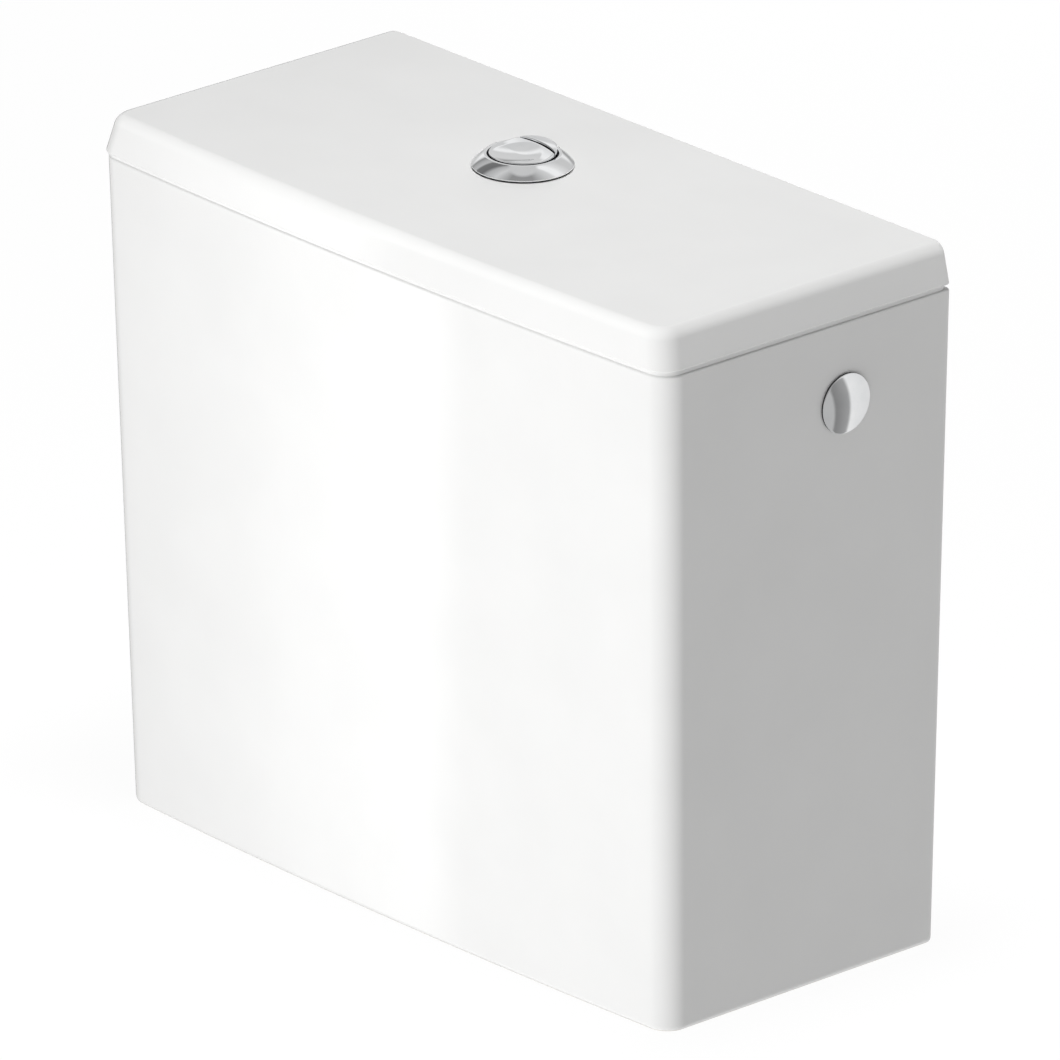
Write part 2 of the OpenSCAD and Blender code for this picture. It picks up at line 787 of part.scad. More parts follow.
module half_seal() {
    color(red_rubber) translate([0, 0, port_z])
        ring(collar_d - 2 * seal_inset, tube_d + 2 * thread_gap, half_seal_t);
}

// Fill valve, on the left wall: local +Z points out of the tank

shank_nut_h = 8;
shank_nut_w = 5.9;
shank_root_d = shank_d + 2 * shank_step;
shank_nut_d = shank_root_d + 2 * shank_nut_w;
inner_face = -wall_t - side_gasket_t;
shank_flange_t = 4;
shank_flange_d = 30;
barrel_d = 18;
barrel_l = 19;
chamber_t = fall_d;
chamber_z = inner_face - shank_flange_t - barrel_l - chamber_t;
diaphragm_t = 3;
diaphragm_inset = 1.5;
head_cap_t = 11;
fall_x = side_x + chamber_z + chamber_t / 2;
fall_wall = 2;
spigot_d = fall_d - 2 * fall_wall;
spigot_wall = 2;
spigot_l = 16;
spigot_in = 12;
chamber_wall = 4;
fall_gap = 3;
fall_top = side_z - head_d / 2 - fall_gap;

module fill_valve_body() {
    color(white_plastic) difference() {
        union() {
            on_left_wall() {
                translate([0, 0, inner_face - shank_flange_t])
                    cylinder(d = shank_d, h = shank_nut_h + shank_free_l - inner_face + shank_flange_t);
                translate([0, 0, inner_face - join])
                    cylinder(d = shank_root_d, h = shank_nut_h - inner_face + join);
                translate([0, 0, inner_face - shank_flange_t])
                    cylinder(d = shank_flange_d, h = shank_flange_t);
                translate([0, 0, chamber_z + eps])
                    cylinder(d = barrel_d, h = barrel_l + chamber_t + shank_flange_t / 2);
                translate([0, 0, chamber_z]) cylinder(d = head_d, h = chamber_t);
            }
            translate([-fall_x, side_y, fall_top - spigot_l])
                cylinder(d = spigot_d, h = spigot_l + spigot_in);
        }
        on_left_wall() translate([0, 0, chamber_z + chamber_wall])
            cylinder(d = shank_bore_d, h = shank_nut_h + shank_free_l - chamber_z);
        translate([-fall_x, side_y, fall_top - spigot_l - cut])
            cylinder(d = spigot_d - 2 * spigot_wall, h = spigot_l + spigot_in);
    }
}

module shank_gasket() {
    color(black_rubber) on_left_wall() translate([0, 0, inner_face])
        ring(shank_flange_d, shank_root_d + 2 * thread_gap, side_gasket_t);
}

module shank_nut() {
    color(white_plastic) on_left_wall() difference() {
        cylinder(d = shank_nut_d, h = shank_nut_h, $fn = 6);
        translate([0, 0, -cut]) cylinder(d = shank_root_d + 2 * thread_gap, h = shank_nut_h + 2 * cut);
    }
}

strainer_l = 14;
strainer_flange_t = 1;
strainer_lip_w = 2;
strainer_gap = 0.5;
strainer_wall = 1;
strainer_end_t = 1.5;
strainer_d = shank_bore_d - 2 * strainer_gap;

module inlet_strainer() {
    color(blue_plastic) on_left_wall() translate([0, 0, shank_nut_h + shank_free_l]) difference() {
        union() {
            cylinder(d = shank_bore_d + 2 * strainer_lip_w, h = strainer_flange_t);
            translate([0, 0, -strainer_l]) cylinder(d = strainer_d, h = strainer_l + eps);
        }
        translate([0, 0, strainer_end_t - strainer_l])
            cylinder(d = strainer_d - 2 * strainer_wall, h = strainer_l + strainer_flange_t);
    }
}

module diaphragm() {
    color(black_rubber) on_left_wall() translate([0, 0, chamber_z - diaphragm_t])
        cylinder(d = head_d - 2 * diaphragm_inset, h = diaphragm_t);
}

// Float arm's pin, in front of the head cap
cap_face = chamber_z - diaphragm_t - head_cap_t;
arm_pin_d = 3;
arm_pin_out = 6;
arm_pin_up = 11;
arm_pin_over = 1;
arm_pin_x = -side_x - cap_face + arm_pin_out;
arm_pin_z = side_z + arm_pin_up;
lug_t = 3;
lug_l = 8;
lug_gap = 8;
lug_d = 9;

module at_arm_pin() {
    translate([arm_pin_x, side_y, arm_pin_z]) rotate([90, 0, 0]) children();
}

module head_cap() {
    color(grey_plastic) difference() {
        union() {
            on_left_wall() translate([0, 0, cap_face]) cylinder(d = head_d, h = head_cap_t);
            for (s = [-1, 1])
                translate([0, s * (lug_gap + lug_t) / 2, 0]) {
                    at_arm_pin() cylinder(d = lug_d, h = lug_t, center = true);
                    translate([arm_pin_x - lug_l, side_y - lug_t / 2, arm_pin_z - lug_d / 2])
                        cube([lug_l, lug_t, lug_d]);
                }
        }
        at_arm_pin() cylinder(d = arm_pin_d + 2 * running_gap, h = 3 * lug_gap, center = true);
    }
}

module float_arm_pin() {
    color(steel) at_arm_pin()
        cylinder(d = arm_pin_d, h = lug_gap + 2 * (lug_t + arm_pin_over), center = true);
}

// Float pieces are drawn shut and then turned down about the pin
module hung() {
    translate([arm_pin_x, side_y, arm_pin_z]) rotate([0, float_drop, 0]) children();
}

float_arm_w = lug_gap - 2 * touch_gap;
float_arm_t = 5;
arm_eye_inset = 0.5;
screw_d = 5;
screw_eye_d = 13;
screw_top = 9;
screw_knob_t = 4;
knob_inset = 1;
float_top = -20;
float_wall = 2;

module float_arm() {
    color(blue_plastic) hung() difference() {
        union() {
            rotate([90, 0, 0]) cylinder(d = lug_d - 2 * arm_eye_inset, h = float_arm_w, center = true);
            translate([0, -float_arm_w / 2, -float_arm_t / 2])
                cube([float_arm_l, float_arm_w, float_arm_t]);
            translate([float_arm_l, 0, -float_arm_t / 2]) cylinder(d = screw_eye_d, h = float_arm_t);
        }
        rotate([90, 0, 0]) cylinder(d = arm_pin_d + 2 * running_gap, h = 2 * lug_gap, center = true);
        translate([float_arm_l, 0, -float_arm_t])
            cylinder(d = screw_d + 2 * thread_gap, h = 2 * float_arm_t);
    }
}

module float_screw() {
    color(white_plastic) hung() translate([float_arm_l, 0, float_top]) {
        cylinder(d = screw_d, h = screw_top - float_top);
        translate([0, 0, float_arm_t / 2 - float_top])
            cylinder(d = screw_eye_d - 2 * knob_inset, h = screw_knob_t, $fn = 12);
    }
}

module float_cup() {
    color(white_plastic) hung() translate([float_arm_l, 0, float_top - float_h]) difference() {
        cylinder(d = float_d, h = float_h);
        translate([0, 0, -cut]) cylinder(d = float_d - 2 * float_wall, h = float_h + cut - float_wall);
    }
}

fall_foot_gap = 22;
fall_foot = floor_z + fall_foot_gap;

module fall_tube() {
    color(grey_plastic) translate([-fall_x, side_y, fall_foot])
        ring(fall_d, spigot_d + 2 * thread_gap, fall_top - fall_foot);
}

// Blanking cap, on the right wall

cap_stem_d = 16.6;
cap_washer_t = 2;
cap_nut_h = 8;
cap_nut_w = 6.65;
cap_stem_over = 3;

module blanking_cap() {
    dome_r = (cap_d * cap_d / 4 + cap_rise * cap_rise) / (2 * cap_rise);
    stem_l = wall_t + cap_washer_t + cap_nut_h + cap_stem_over;
    color(chrome) on_right_wall() {
        intersection() {
            translate([0, 0, cap_gasket_t]) cylinder(d = cap_d, h = cap_t + cap_rise + cut);
            translate([0, 0, cap_gasket_t + cap_t + cap_rise - dome_r]) sphere(r = dome_r, $fn = 128);
        }
        translate([0, 0, -stem_l]) cylinder(d = cap_stem_d, h = stem_l + cap_gasket_t + eps);
    }
}

module cap_gasket() {
    color(black_rubber) on_right_wall()
        ring(cap_d - 2 * gasket_inset, cap_stem_d + 2 * thread_gap, cap_gasket_t);
}

module cap_washer() {
    color(black_rubber) on_right_wall() translate([0, 0, -wall_t - cap_washer_t])
        ring(cap_d, cap_stem_d + 2 * thread_gap, cap_washer_t);
}

module cap_nut() {
    color(white_plastic) on_right_wall() translate([0, 0, -wall_t - cap_washer_t - cap_nut_h]) difference() {
        cylinder(d = cap_stem_d + 2 * cap_nut_w, h = cap_nut_h, $fn = 6);
        translate([0, 0, -cut]) cylinder(d = cap_stem_d + 2 * thread_gap, h = cap_nut_h + 2 * cut);
    }
}

tank();
lid();
lid_pads();
button_gasket();
button_ring();
button_sleeve();
sleeve_nut();
rod_guide();
full_button();
full_push_rod();
full_spring();
half_button();
half_push_rod();
half_spring();
valve_base();
base_seal();
back_nut();
coupling_gasket();
valve_bridge();
lever_pin();
full_lever();
half_lever();
overflow_tube();
main_seal();
seal_retainer();
float_ring();
half_sleeve();
half_seal();
fill_valve_body();
shank_gasket();
shank_nut();
inlet_strainer();
diaphragm();
head_cap();
float_arm();
float_arm_pin();
float_screw();
float_cup();
fall_tube();
blanking_cap();
cap_gasket();
cap_washer();
cap_nut();
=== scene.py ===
"""Toilet cistern: glazed tank and lid, chrome push button, flush valve and side-entry fill valve."""
import json
from math import asin, atan, atan2, cos, pi, radians, sin, sqrt, tan

import bmesh
import bpy
from mathutils import Matrix, Vector


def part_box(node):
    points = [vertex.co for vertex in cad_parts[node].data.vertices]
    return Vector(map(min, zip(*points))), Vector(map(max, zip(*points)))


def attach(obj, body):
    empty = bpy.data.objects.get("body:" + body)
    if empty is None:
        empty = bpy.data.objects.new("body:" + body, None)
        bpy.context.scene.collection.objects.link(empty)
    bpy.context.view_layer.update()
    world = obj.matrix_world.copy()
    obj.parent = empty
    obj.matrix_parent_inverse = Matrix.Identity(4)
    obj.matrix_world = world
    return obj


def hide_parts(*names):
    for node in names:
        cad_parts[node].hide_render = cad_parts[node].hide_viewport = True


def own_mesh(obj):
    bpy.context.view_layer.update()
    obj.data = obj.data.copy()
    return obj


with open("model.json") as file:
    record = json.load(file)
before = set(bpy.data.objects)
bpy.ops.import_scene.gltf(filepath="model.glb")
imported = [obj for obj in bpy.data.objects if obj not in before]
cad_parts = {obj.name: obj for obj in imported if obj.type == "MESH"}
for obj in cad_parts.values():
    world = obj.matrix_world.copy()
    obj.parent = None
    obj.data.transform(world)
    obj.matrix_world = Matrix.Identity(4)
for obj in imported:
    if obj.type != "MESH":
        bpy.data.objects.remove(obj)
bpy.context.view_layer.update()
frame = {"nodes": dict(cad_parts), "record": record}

MM = 0.001


def mm(*values):
    return [value * MM for value in values]


BODY_OF = {node: body for body, nodes in frame["record"]["behaviour"]["bodies"].items() for node in nodes}
SLOT_OF = {part["node"]: part["material_slot"] for part in frame["record"]["subparts"]}


def span(node):
    """Lowest and highest level of a node, and half its width."""
    lo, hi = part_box(node)
    return lo.z, hi.z, (hi.x - lo.x) / 2


def middle(node):
    lo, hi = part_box(node)
    return (lo + hi) / 2


# Driving sizes of the ceramic, as in the solids
FRONT_BOW = 5 * MM
SIDE_LEAN = 6.4 * MM
FRONT_LEAN = 9.5 * MM
FRONT_EDGE_R = 12 * MM
REAR_EDGE_R = 3 * MM
FOOT_R = 3 * MM
RIM_R = 1.5 * MM
WALL_T = 9 * MM
FLOOR_T = 11 * MM
SKIRT_H = 30 * MM
LID_SIDE_LEAN = 4.8 * MM
LID_FRONT_LEAN = 2.9 * MM
LID_OVERHANG = 1.6 * MM
LID_EDGE_R = 5 * MM
LID_REAR_R = 0.8 * MM
LID_T = 9 * MM
LIP_DROP = 8 * MM
LIP_T = 6 * MM
LIP_GAP = 2.5 * MM
BEAD_FORWARD = 0.8 * MM
UNDER_R = 6 * MM
BOLT_SPACING = 150 * MM
BOLT_HOLE_D = 11 * MM
SIDE_HOLE_D = 21 * MM
TAIL_HOLE_R = 31.3 * MM
LID_HOLE_R = 19.2 * MM
SIDE_HOLE_DROP = 39.5 * MM

# Levels and reaches taken from the solids
tank_lo, tank_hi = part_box("tank")
lid_lo, lid_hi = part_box("lid")
ring_lo, ring_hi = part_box("button_ring")
TANK_H = tank_hi.z
HALF_W = tank_hi.x
REAR_Y = tank_hi.y
FRONT_Y = tank_lo.y + FRONT_BOW
LID_TOP = lid_hi.z
LID_Z = lid_lo.z + LIP_DROP
LID_H = LID_TOP - LID_Z
FLOOR_Z = SKIRT_H + FLOOR_T
BUTTON_X = (ring_lo.x + ring_hi.x) / 2
RING_TOP = ring_hi.z
FULL_ROD_Y = middle("full_push_rod").y
HALF_ROD_Y = middle("half_push_rod").y
BOSS_Z = span("full_push_rod")[1]
SIDE_LEAN_A = atan(SIDE_LEAN / TANK_H)
SIDE_Y = middle("cap_washer").y
SIDE_Z = TANK_H - SIDE_HOLE_DROP
SIDE_X = HALF_W - SIDE_LEAN * (1 - SIDE_Z / TANK_H)

# Outline steps
EDGE_N = 14
FRONT_N = 48
REAR_N = 6


# Shapes

def arc(cx, cy, r, a0, a1, n):
    """Points of an arc, angles in radians, both ends included."""
    steps = [a0 + (a1 - a0) * i / n for i in range(n + 1)]
    return [(cx + r * cos(a), cy + r * sin(a)) for a in steps]


def turn(n):
    """Angles of a quarter round."""
    return [pi / 2 * i / n for i in range(n + 1)]


def quarter(r, n):
    """Rounded edge in n steps: pairs of a distance that grows from 0 to r and one that falls from r to 0."""
    return [(r * (1 - cos(a)), r * (1 - sin(a))) for a in turn(n)]


def shift(x, y, z=0):
    return Matrix.Translation((x, y, z))


def outline(half_w, front, rear, front_r, rear_r):
    """Outline seen from above: straight sides and rear, bowed front, round corners."""
    bow_r = (half_w ** 2 + FRONT_BOW ** 2) / (2 * FRONT_BOW)
    bow_cy = front - FRONT_BOW + bow_r
    edge_x = half_w - front_r
    drop = sqrt((bow_r - front_r) ** 2 - edge_x ** 2)
    edge_a = -atan2(drop, edge_x)
    rear_x = half_w - rear_r
    points = arc(edge_x, bow_cy - drop, front_r, edge_a, 0, EDGE_N)
    points += arc(rear_x, rear - rear_r, rear_r, 0, pi / 2, REAR_N)
    points += arc(-rear_x, rear - rear_r, rear_r, pi / 2, pi, REAR_N)
    points += arc(-edge_x, bow_cy - drop, front_r, pi, pi - edge_a, EDGE_N)
    return points + arc(0, bow_cy, bow_r, pi - edge_a, 2 * pi + edge_a, FRONT_N)[1:-1]


def linked(name, data):
    """A new object in the scene."""
    obj = bpy.data.objects.new(name, data)
    bpy.context.scene.collection.objects.link(obj)
    return obj


def raw_piece(name, bm):
    """A linked mesh object that is still to be cut and finished."""
    mesh = bpy.data.meshes.new(name)
    bmesh.ops.recalc_face_normals(bm, faces=bm.faces)
    bm.to_mesh(mesh)
    bm.free()
    return linked(name, mesh)


def new_piece(node, detail, bm, sharp=35):
    """A piece named after its node and its detail, in the node's place, body and finish."""
    obj = raw_piece(f"{node}_{detail}", bm)
    obj.data.shade_smooth()
    obj.data.set_sharp_from_angle(angle=radians(sharp))
    normals = obj.modifiers.new("Normals", "WEIGHTED_NORMAL")
    normals.keep_sharp = True
    obj.data.materials.append(MATERIALS[SLOT_OF[node]])
    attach(obj, BODY_OF[node])
    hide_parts(node)
    return obj


def skin(bm, rings):
    """Walls through rings of equal length, and the rows of their vertices."""
    rows = [[bm.verts.new(p) for p in ring] for ring in rings]
    count = len(rows[0])
    for low, high in zip(rows, rows[1:]):
        for i in range(count):
            j = (i + 1) % count
            bm.faces.new((low[i], low[j], high[j], high[i]))
    return rows


def loft(rings):
    """Closed skin through rings of equal length, capped at the first and the last."""
    bm = bmesh.new()
    rows = skin(bm, rings)
    bm.faces.new(rows[0][::-1])
    bm.faces.new(rows[-1])
    return bm


def moved(bm, place):
    if place is not None:
        bmesh.ops.transform(bm, matrix=place, verts=bm.verts)
    return bm


def lathe(profile, steps=96, closed=True, place=None):
    """Turned solid from (radius, height) points; a radius may be a function of the angle.

    A profile that isn't closed ends on the axis."""
    bm = bmesh.new()
    turns = [2 * pi * i / steps for i in range(steps)]
    rows = []
    for r, z in profile:
        if not callable(r) and r < 1e-7:
            rows.append([bm.verts.new((0, 0, z))])
            continue
        reach = [r(a) if callable(r) else r for a in turns]
        rows.append([bm.verts.new((d * cos(a), d * sin(a), z)) for d, a in zip(reach, turns)])
    pairs = list(zip(rows, rows[1:]))
    if closed:
        pairs.append((rows[-1], rows[0]))
    for low, high in pairs:
        for i in range(steps):
            j = (i + 1) % steps
            corners = [low[i % len(low)], low[j % len(low)], high[j % len(high)], high[i % len(high)]]
            bm.faces.new(list(dict.fromkeys(corners)))
    return moved(bm, place)


def rounded(points, radius, n=4, closed=True):
    """Profile with its corners rounded; radius is one number or one for each corner."""
    count = len(points)
    radii = radius if isinstance(radius, (list, tuple)) else [radius] * count
    made = []
    for i, (x, y) in enumerate(points):
        here = Vector((x, y))
        if not closed and i in (0, count - 1) or radii[i] <= 0:
            made.append((x, y))
            continue
        before = Vector(points[i - 1]) - here
        after = Vector(points[(i + 1) % count]) - here
        half = before.angle(after) / 2
        reach = min(radii[i] / tan(half), before.length * 0.48, after.length * 0.48)
        r = reach * tan(half)
        a, b = here + before.normalized() * reach, here + after.normalized() * reach
        centre = here + (before.normalized() + after.normalized()).normalized() * (r / sin(half))
        for k in range(n + 1):
            spoke = (a - centre).lerp(b - centre, k / n)
            made.append(tuple(centre + spoke.normalized() * r))
    return made


def cut(bm, *cutters):
    """The mesh less closed cutters, taken one after the other."""
    work = raw_piece("work", bm)
    for other in cutters:
        cutter = raw_piece("cutter", other)
        step = work.modifiers.new("Cut", "BOOLEAN")
        step.operation = "DIFFERENCE"
        step.solver = "EXACT"
        step.object = cutter
        result = bpy.data.meshes.new_from_object(work.evaluated_get(bpy.context.evaluated_depsgraph_get()))
        work.modifiers.clear()
        old, work.data = work.data, result
        bpy.data.meshes.remove(old)
        bpy.data.meshes.remove(cutter.data)
    made = bmesh.new()
    made.from_mesh(work.data)
    bpy.data.meshes.remove(work.data)
    return made


def merged(*meshes):
    """One bmesh that holds several."""
    bm = meshes[0]
    for other in meshes[1:]:
        mesh = bpy.data.meshes.new("part")
        other.to_mesh(mesh)
        other.free()
        bm.from_mesh(mesh)
        bpy.data.meshes.remove(mesh)
    return bm


def hole(x, y, z0, z1, r, flare, place=None):
    """Cutter for a round hole with a small flare where it meets both faces."""
    profile = [(0, z0 - flare), (r + 2 * flare, z0 - flare), (r, z0 + flare), (r, z1 - flare),
               (r + 2 * flare, z1 + flare), (0, z1 + flare)]
    base = shift(x, y)
    return lathe(profile, 64, closed=False, place=base if place is None else place @ base)


def washer(outer, inner, z0, z1, edge):
    """Closed profile of a ring with rounded edges."""
    return rounded([(outer, z0), (outer, z1), (inner, z1), (inner, z0)], edge, 3)


def ring_piece(node, outer, bore, z0, z1, edge, steps=96, place=None):
    """Ring with rounded edges as a piece."""
    new_piece(node, "moulded", lathe(washer(outer, bore, z0, z1, edge), steps, place=place))


def rod(r, z0, z1, edge=0.4 * MM, place=None, steps=40):
    """Round bar with rounded ends."""
    return lathe(rounded([(0, z0), (r, z0), (r, z1), (0, z1)], edge, 3, closed=False), steps, False, place)


def bar(x0, x1, y0, y1, z0, z1, edge=0.6 * MM, place=None):
    """Block with rounded edges."""
    bm = bmesh.new()
    bmesh.ops.create_cube(bm, size=1)
    for vert in bm.verts:
        vert.co = [a + (b - a) * (c + 0.5) for a, b, c in zip((x0, y0, z0), (x1, y1, z1), vert.co)]
    bmesh.ops.bevel(bm, geom=bm.edges[:], offset=edge, segments=2, profile=0.5, affect="EDGES")
    return moved(bm, place)


def slab(points, z0, z1, edge=0.5 * MM, place=None):
    """Outline, anticlockwise, drawn out along Z with rounded edges."""
    corners = []
    for i, point in enumerate(points):
        here = Vector(point)
        before = (here - Vector(points[i - 1])).normalized()
        after = (Vector(points[(i + 1) % len(points)]) - here).normalized()
        inward = Vector((-before.y - after.y, before.x + after.x)).normalized()
        corners.append((here, inward / max(0.4, inward.dot(Vector((-before.y, before.x))))))

    def ring(inset, z):
        return [(*(here + inward * inset), z) for here, inward in corners]

    rings = [ring(b, z0 + a) for a, b in quarter(edge, 3)]
    rings += [ring(a, z1 - b) for a, b in quarter(edge, 3)]
    return moved(loft(rings), place)


def tooth(phase):
    """Height of a thread's tooth, 0 to 1, along one pitch."""
    return min(1.0, max(0.0, 1.7 - 5 * abs(phase % 1 - 0.5)))


def thread(root, crest, pitch, z0, z1, rows=7):
    """Profile rows of a screw thread between two heights, run out at both ends."""
    count = max(1, round(abs(z1 - z0) / pitch * rows))
    made = []
    for i in range(count + 1):
        z = z0 + (z1 - z0) * i / count
        depth = (crest - root) * min(1.0, abs(z - z0) / pitch, abs(z1 - z) / pitch)
        made.append((lambda a, z=z, depth=depth: root + depth * tooth(z / pitch - a / (2 * pi)), z))
    return made


def nut(corner_r, sides, z0, z1, bore, chamfer=1.4 * MM, place=None):
    """Nut with chamfered corners around its bore."""
    sector = 2 * pi / sides
    flat = corner_r * cos(sector / 2)
    start = flat * 0.975
    steps = 5

    def row(k, z):
        limit = start + (corner_r - start) * k / steps
        return (lambda a: min(limit, flat / cos(a % sector - sector / 2)), z)

    profile = [row(k, z0 + chamfer * k / steps) for k in range(steps + 1)]
    profile += [row(k, z1 - chamfer * k / steps) for k in range(steps, -1, -1)]
    lead = 0.5 * MM
    profile += [(bore + lead, z1), (bore, z1 - lead), (bore, z0 + lead), (bore + lead, z0)]
    return lathe(profile, sides * 16, place=place)


def fluted(r, depth, count):
    """Radius of a grip with shallow flutes."""
    return lambda a: r - depth * (0.5 - 0.5 * cos(count * a)) ** 2


def on_wall(side):
    """Local +Z points out of the side wall at its hole, local +X points down."""
    out = Vector((side * cos(SIDE_LEAN_A), 0, -sin(SIDE_LEAN_A)))
    down = Vector((-side * sin(SIDE_LEAN_A), 0, -cos(SIDE_LEAN_A)))
    axes = Matrix((down, out.cross(down), out)).transposed().to_4x4()
    return shift(side * SIDE_X, SIDE_Y, SIDE_Z) @ axes


def at_button(y=0):
    return shift(BUTTON_X, y)


# Local X stays, local Y points up and local Z points forward, for what turns on a pin across the tank
CROSSWISE = Matrix.Rotation(pi / 2, 4, "X")


# Materials: colour, roughness and relief from noise in the piece's own coordinates

def add_node(tree, kind, **values):
    node = tree.nodes.new(kind)
    for key, value in values.items():
        if key in node.inputs:
            node.inputs[key].default_value = value
        else:
            setattr(node, key, value)
    return node


def noise(tree, coords, scale, detail=2.0, stretch=None):
    """Noise value in object coordinates, scale in cells per metre."""
    node = add_node(tree, "ShaderNodeTexNoise", Scale=scale, Detail=detail)
    source = coords.outputs["Object"]
    if stretch:
        mapping = add_node(tree, "ShaderNodeMapping")
        mapping.inputs["Scale"].default_value = stretch
        tree.links.new(source, mapping.inputs["Vector"])
        source = mapping.outputs["Vector"]
    tree.links.new(source, node.inputs["Vector"])
    return node.outputs["Fac"]


def feed(tree, socket, value):
    """Links a socket to another one, or gives it a constant."""
    if isinstance(value, bpy.types.NodeSocket):
        tree.links.new(value, socket)
    else:
        socket.default_value = value


def maths(tree, operation, *values):
    """Result of a maths node; each value is a number or a socket."""
    node = add_node(tree, "ShaderNodeMath", operation=operation)
    for socket, value in zip(node.inputs, values):
        feed(tree, socket, value)
    return node.outputs[0]


def spread(tree, value, low, high, start=0.3, end=0.7):
    """Maps a value between start and end, as for noise by default, to the range from low to high."""
    node = add_node(tree, "ShaderNodeMapRange")
    for socket, number in zip(node.inputs, (value, start, end, low, high)):
        feed(tree, socket, number)
    return node.outputs["Result"]


def mixed(tree, factor, *colours):
    """Mix of two colours; each is a triple or a socket."""
    node = add_node(tree, "ShaderNodeMix", data_type="RGBA")
    tree.links.new(factor, node.inputs["Factor"])
    for socket, colour in zip([s for s in node.inputs if s.type == "RGBA"], colours):
        feed(tree, socket, (*colour, 1) if isinstance(colour, tuple) else colour)
    return [s for s in node.outputs if s.type == "RGBA"][0]


def relief(tree, shader, layers):
    """Bump from two (value, height in metres) layers."""
    total = maths(tree, "ADD", *[maths(tree, "MULTIPLY", *layer) for layer in layers])
    bump = add_node(tree, "ShaderNodeBump", Strength=1.0, Distance=1.0)
    tree.links.new(total, bump.inputs["Height"])
    tree.links.new(bump.outputs["Normal"], shader.inputs["Normal"])


def material(name, colours, rough, blotch, grain, heights, metallic=0.0, stretch=None):
    """Surface with two tints by blotch noise, and grain noise for roughness and relief."""
    mat = bpy.data.materials.new(name)
    mat.use_nodes = True
    tree = mat.node_tree
    shader = tree.nodes["Principled BSDF"]
    shader.inputs["Metallic"].default_value = metallic
    coords = add_node(tree, "ShaderNodeTexCoord")
    large = noise(tree, coords, blotch, 3.0, stretch)
    fine = noise(tree, coords, grain, 2.0, stretch)
    colour = mixed(tree, spread(tree, large, 0, 1), *colours)
    tree.links.new(colour, shader.inputs["Base Color"])
    tree.links.new(spread(tree, fine, *rough), shader.inputs["Roughness"])
    relief(tree, shader, [(large, heights[0]), (fine, heights[1])])
    return mat


def glaze_material():
    """White glaze with a faint waviness, left off the foot that it is fired on."""
    mat = material("glaze", ((0.765, 0.765, 0.76), (0.785, 0.785, 0.78)), (0.006, 0.015), 22, 700,
                   (2.5e-6, 0.04e-6))
    tree = mat.node_tree
    shader = tree.nodes["Principled BSDF"]
    coords = next(n for n in tree.nodes if n.type == "TEX_COORD")
    split = add_node(tree, "ShaderNodeSeparateXYZ")
    tree.links.new(coords.outputs["Object"], split.inputs["Vector"])
    wave, step = mm(1.2, 0.5)
    wobble = maths(tree, "MULTIPLY_ADD", noise(tree, coords, 160, 3.0), wave, split.outputs["Z"])
    bare = spread(tree, wobble, 1, 0, wave, wave + step)
    grit = mixed(tree, spread(tree, noise(tree, coords, 1400, 4.0), 0, 1), (0.60, 0.56, 0.49),
                 (0.70, 0.66, 0.59))
    glazed = shader.inputs["Base Color"].links[0].from_socket
    tree.links.new(mixed(tree, bare, glazed, grit), shader.inputs["Base Color"])
    gloss = shader.inputs["Roughness"].links[0].from_socket
    tree.links.new(maths(tree, "MULTIPLY_ADD", bare, 0.75, gloss), shader.inputs["Roughness"])
    return mat


# Two tints, roughness range, blotch and grain in cells per metre, height of both in metres, metal, stretch
FINISHES = {
    "chrome": (((0.80, 0.81, 0.82), (0.86, 0.865, 0.87)), (0.025, 0.05), 60, 900, (1.5e-6, 0.15e-6), 1.0),
    "chrome_plastic": (((0.78, 0.79, 0.80), (0.84, 0.845, 0.85)), (0.03, 0.06), 90, 900, (2e-6, 0.2e-6), 1.0),
    "white_plastic": (((0.74, 0.745, 0.735), (0.80, 0.80, 0.79)), (0.30, 0.42), 70, 2600, (8e-6, 6e-6)),
    "grey_plastic": (((0.33, 0.35, 0.37), (0.39, 0.41, 0.43)), (0.42, 0.56), 80, 2600, (6e-6, 9e-6)),
    "blue_plastic": (((0.055, 0.15, 0.34), (0.075, 0.19, 0.40)), (0.38, 0.52), 80, 2600, (6e-6, 8e-6)),
    "black_rubber": (((0.014, 0.014, 0.015), (0.03, 0.03, 0.031)), (0.55, 0.78), 120, 3200, (8e-6, 14e-6)),
    "red_rubber": (((0.22, 0.035, 0.025), (0.30, 0.05, 0.036)), (0.5, 0.68), 120, 3200, (6e-6, 10e-6)),
    "steel": (((0.48, 0.49, 0.50), (0.60, 0.61, 0.62)), (0.22, 0.38), 500, 2500, (2e-6, 2e-6), 1.0,
              (1, 1, 0.15)),
}
MATERIALS = {"glaze": glaze_material()}
MATERIALS.update({slot: material(slot, *values) for slot, values in FINISHES.items()})

for node, slot in SLOT_OF.items():
    mesh = frame["nodes"][node].data
    mesh.materials.clear()
    mesh.materials.append(MATERIALS[slot])


# Tank

def tank_ring(z, inset, inner=False):
    lean = 1 - z / TANK_H
    least = 8 * MM if inner else 2 * MM
    points = outline(HALF_W - SIDE_LEAN * lean - inset, FRONT_Y + FRONT_LEAN * lean + inset, REAR_Y - inset,
                     max(FRONT_EDGE_R - inset, least), max(REAR_EDGE_R - inset, least))
    return [(x, y, z) for x, y in points]


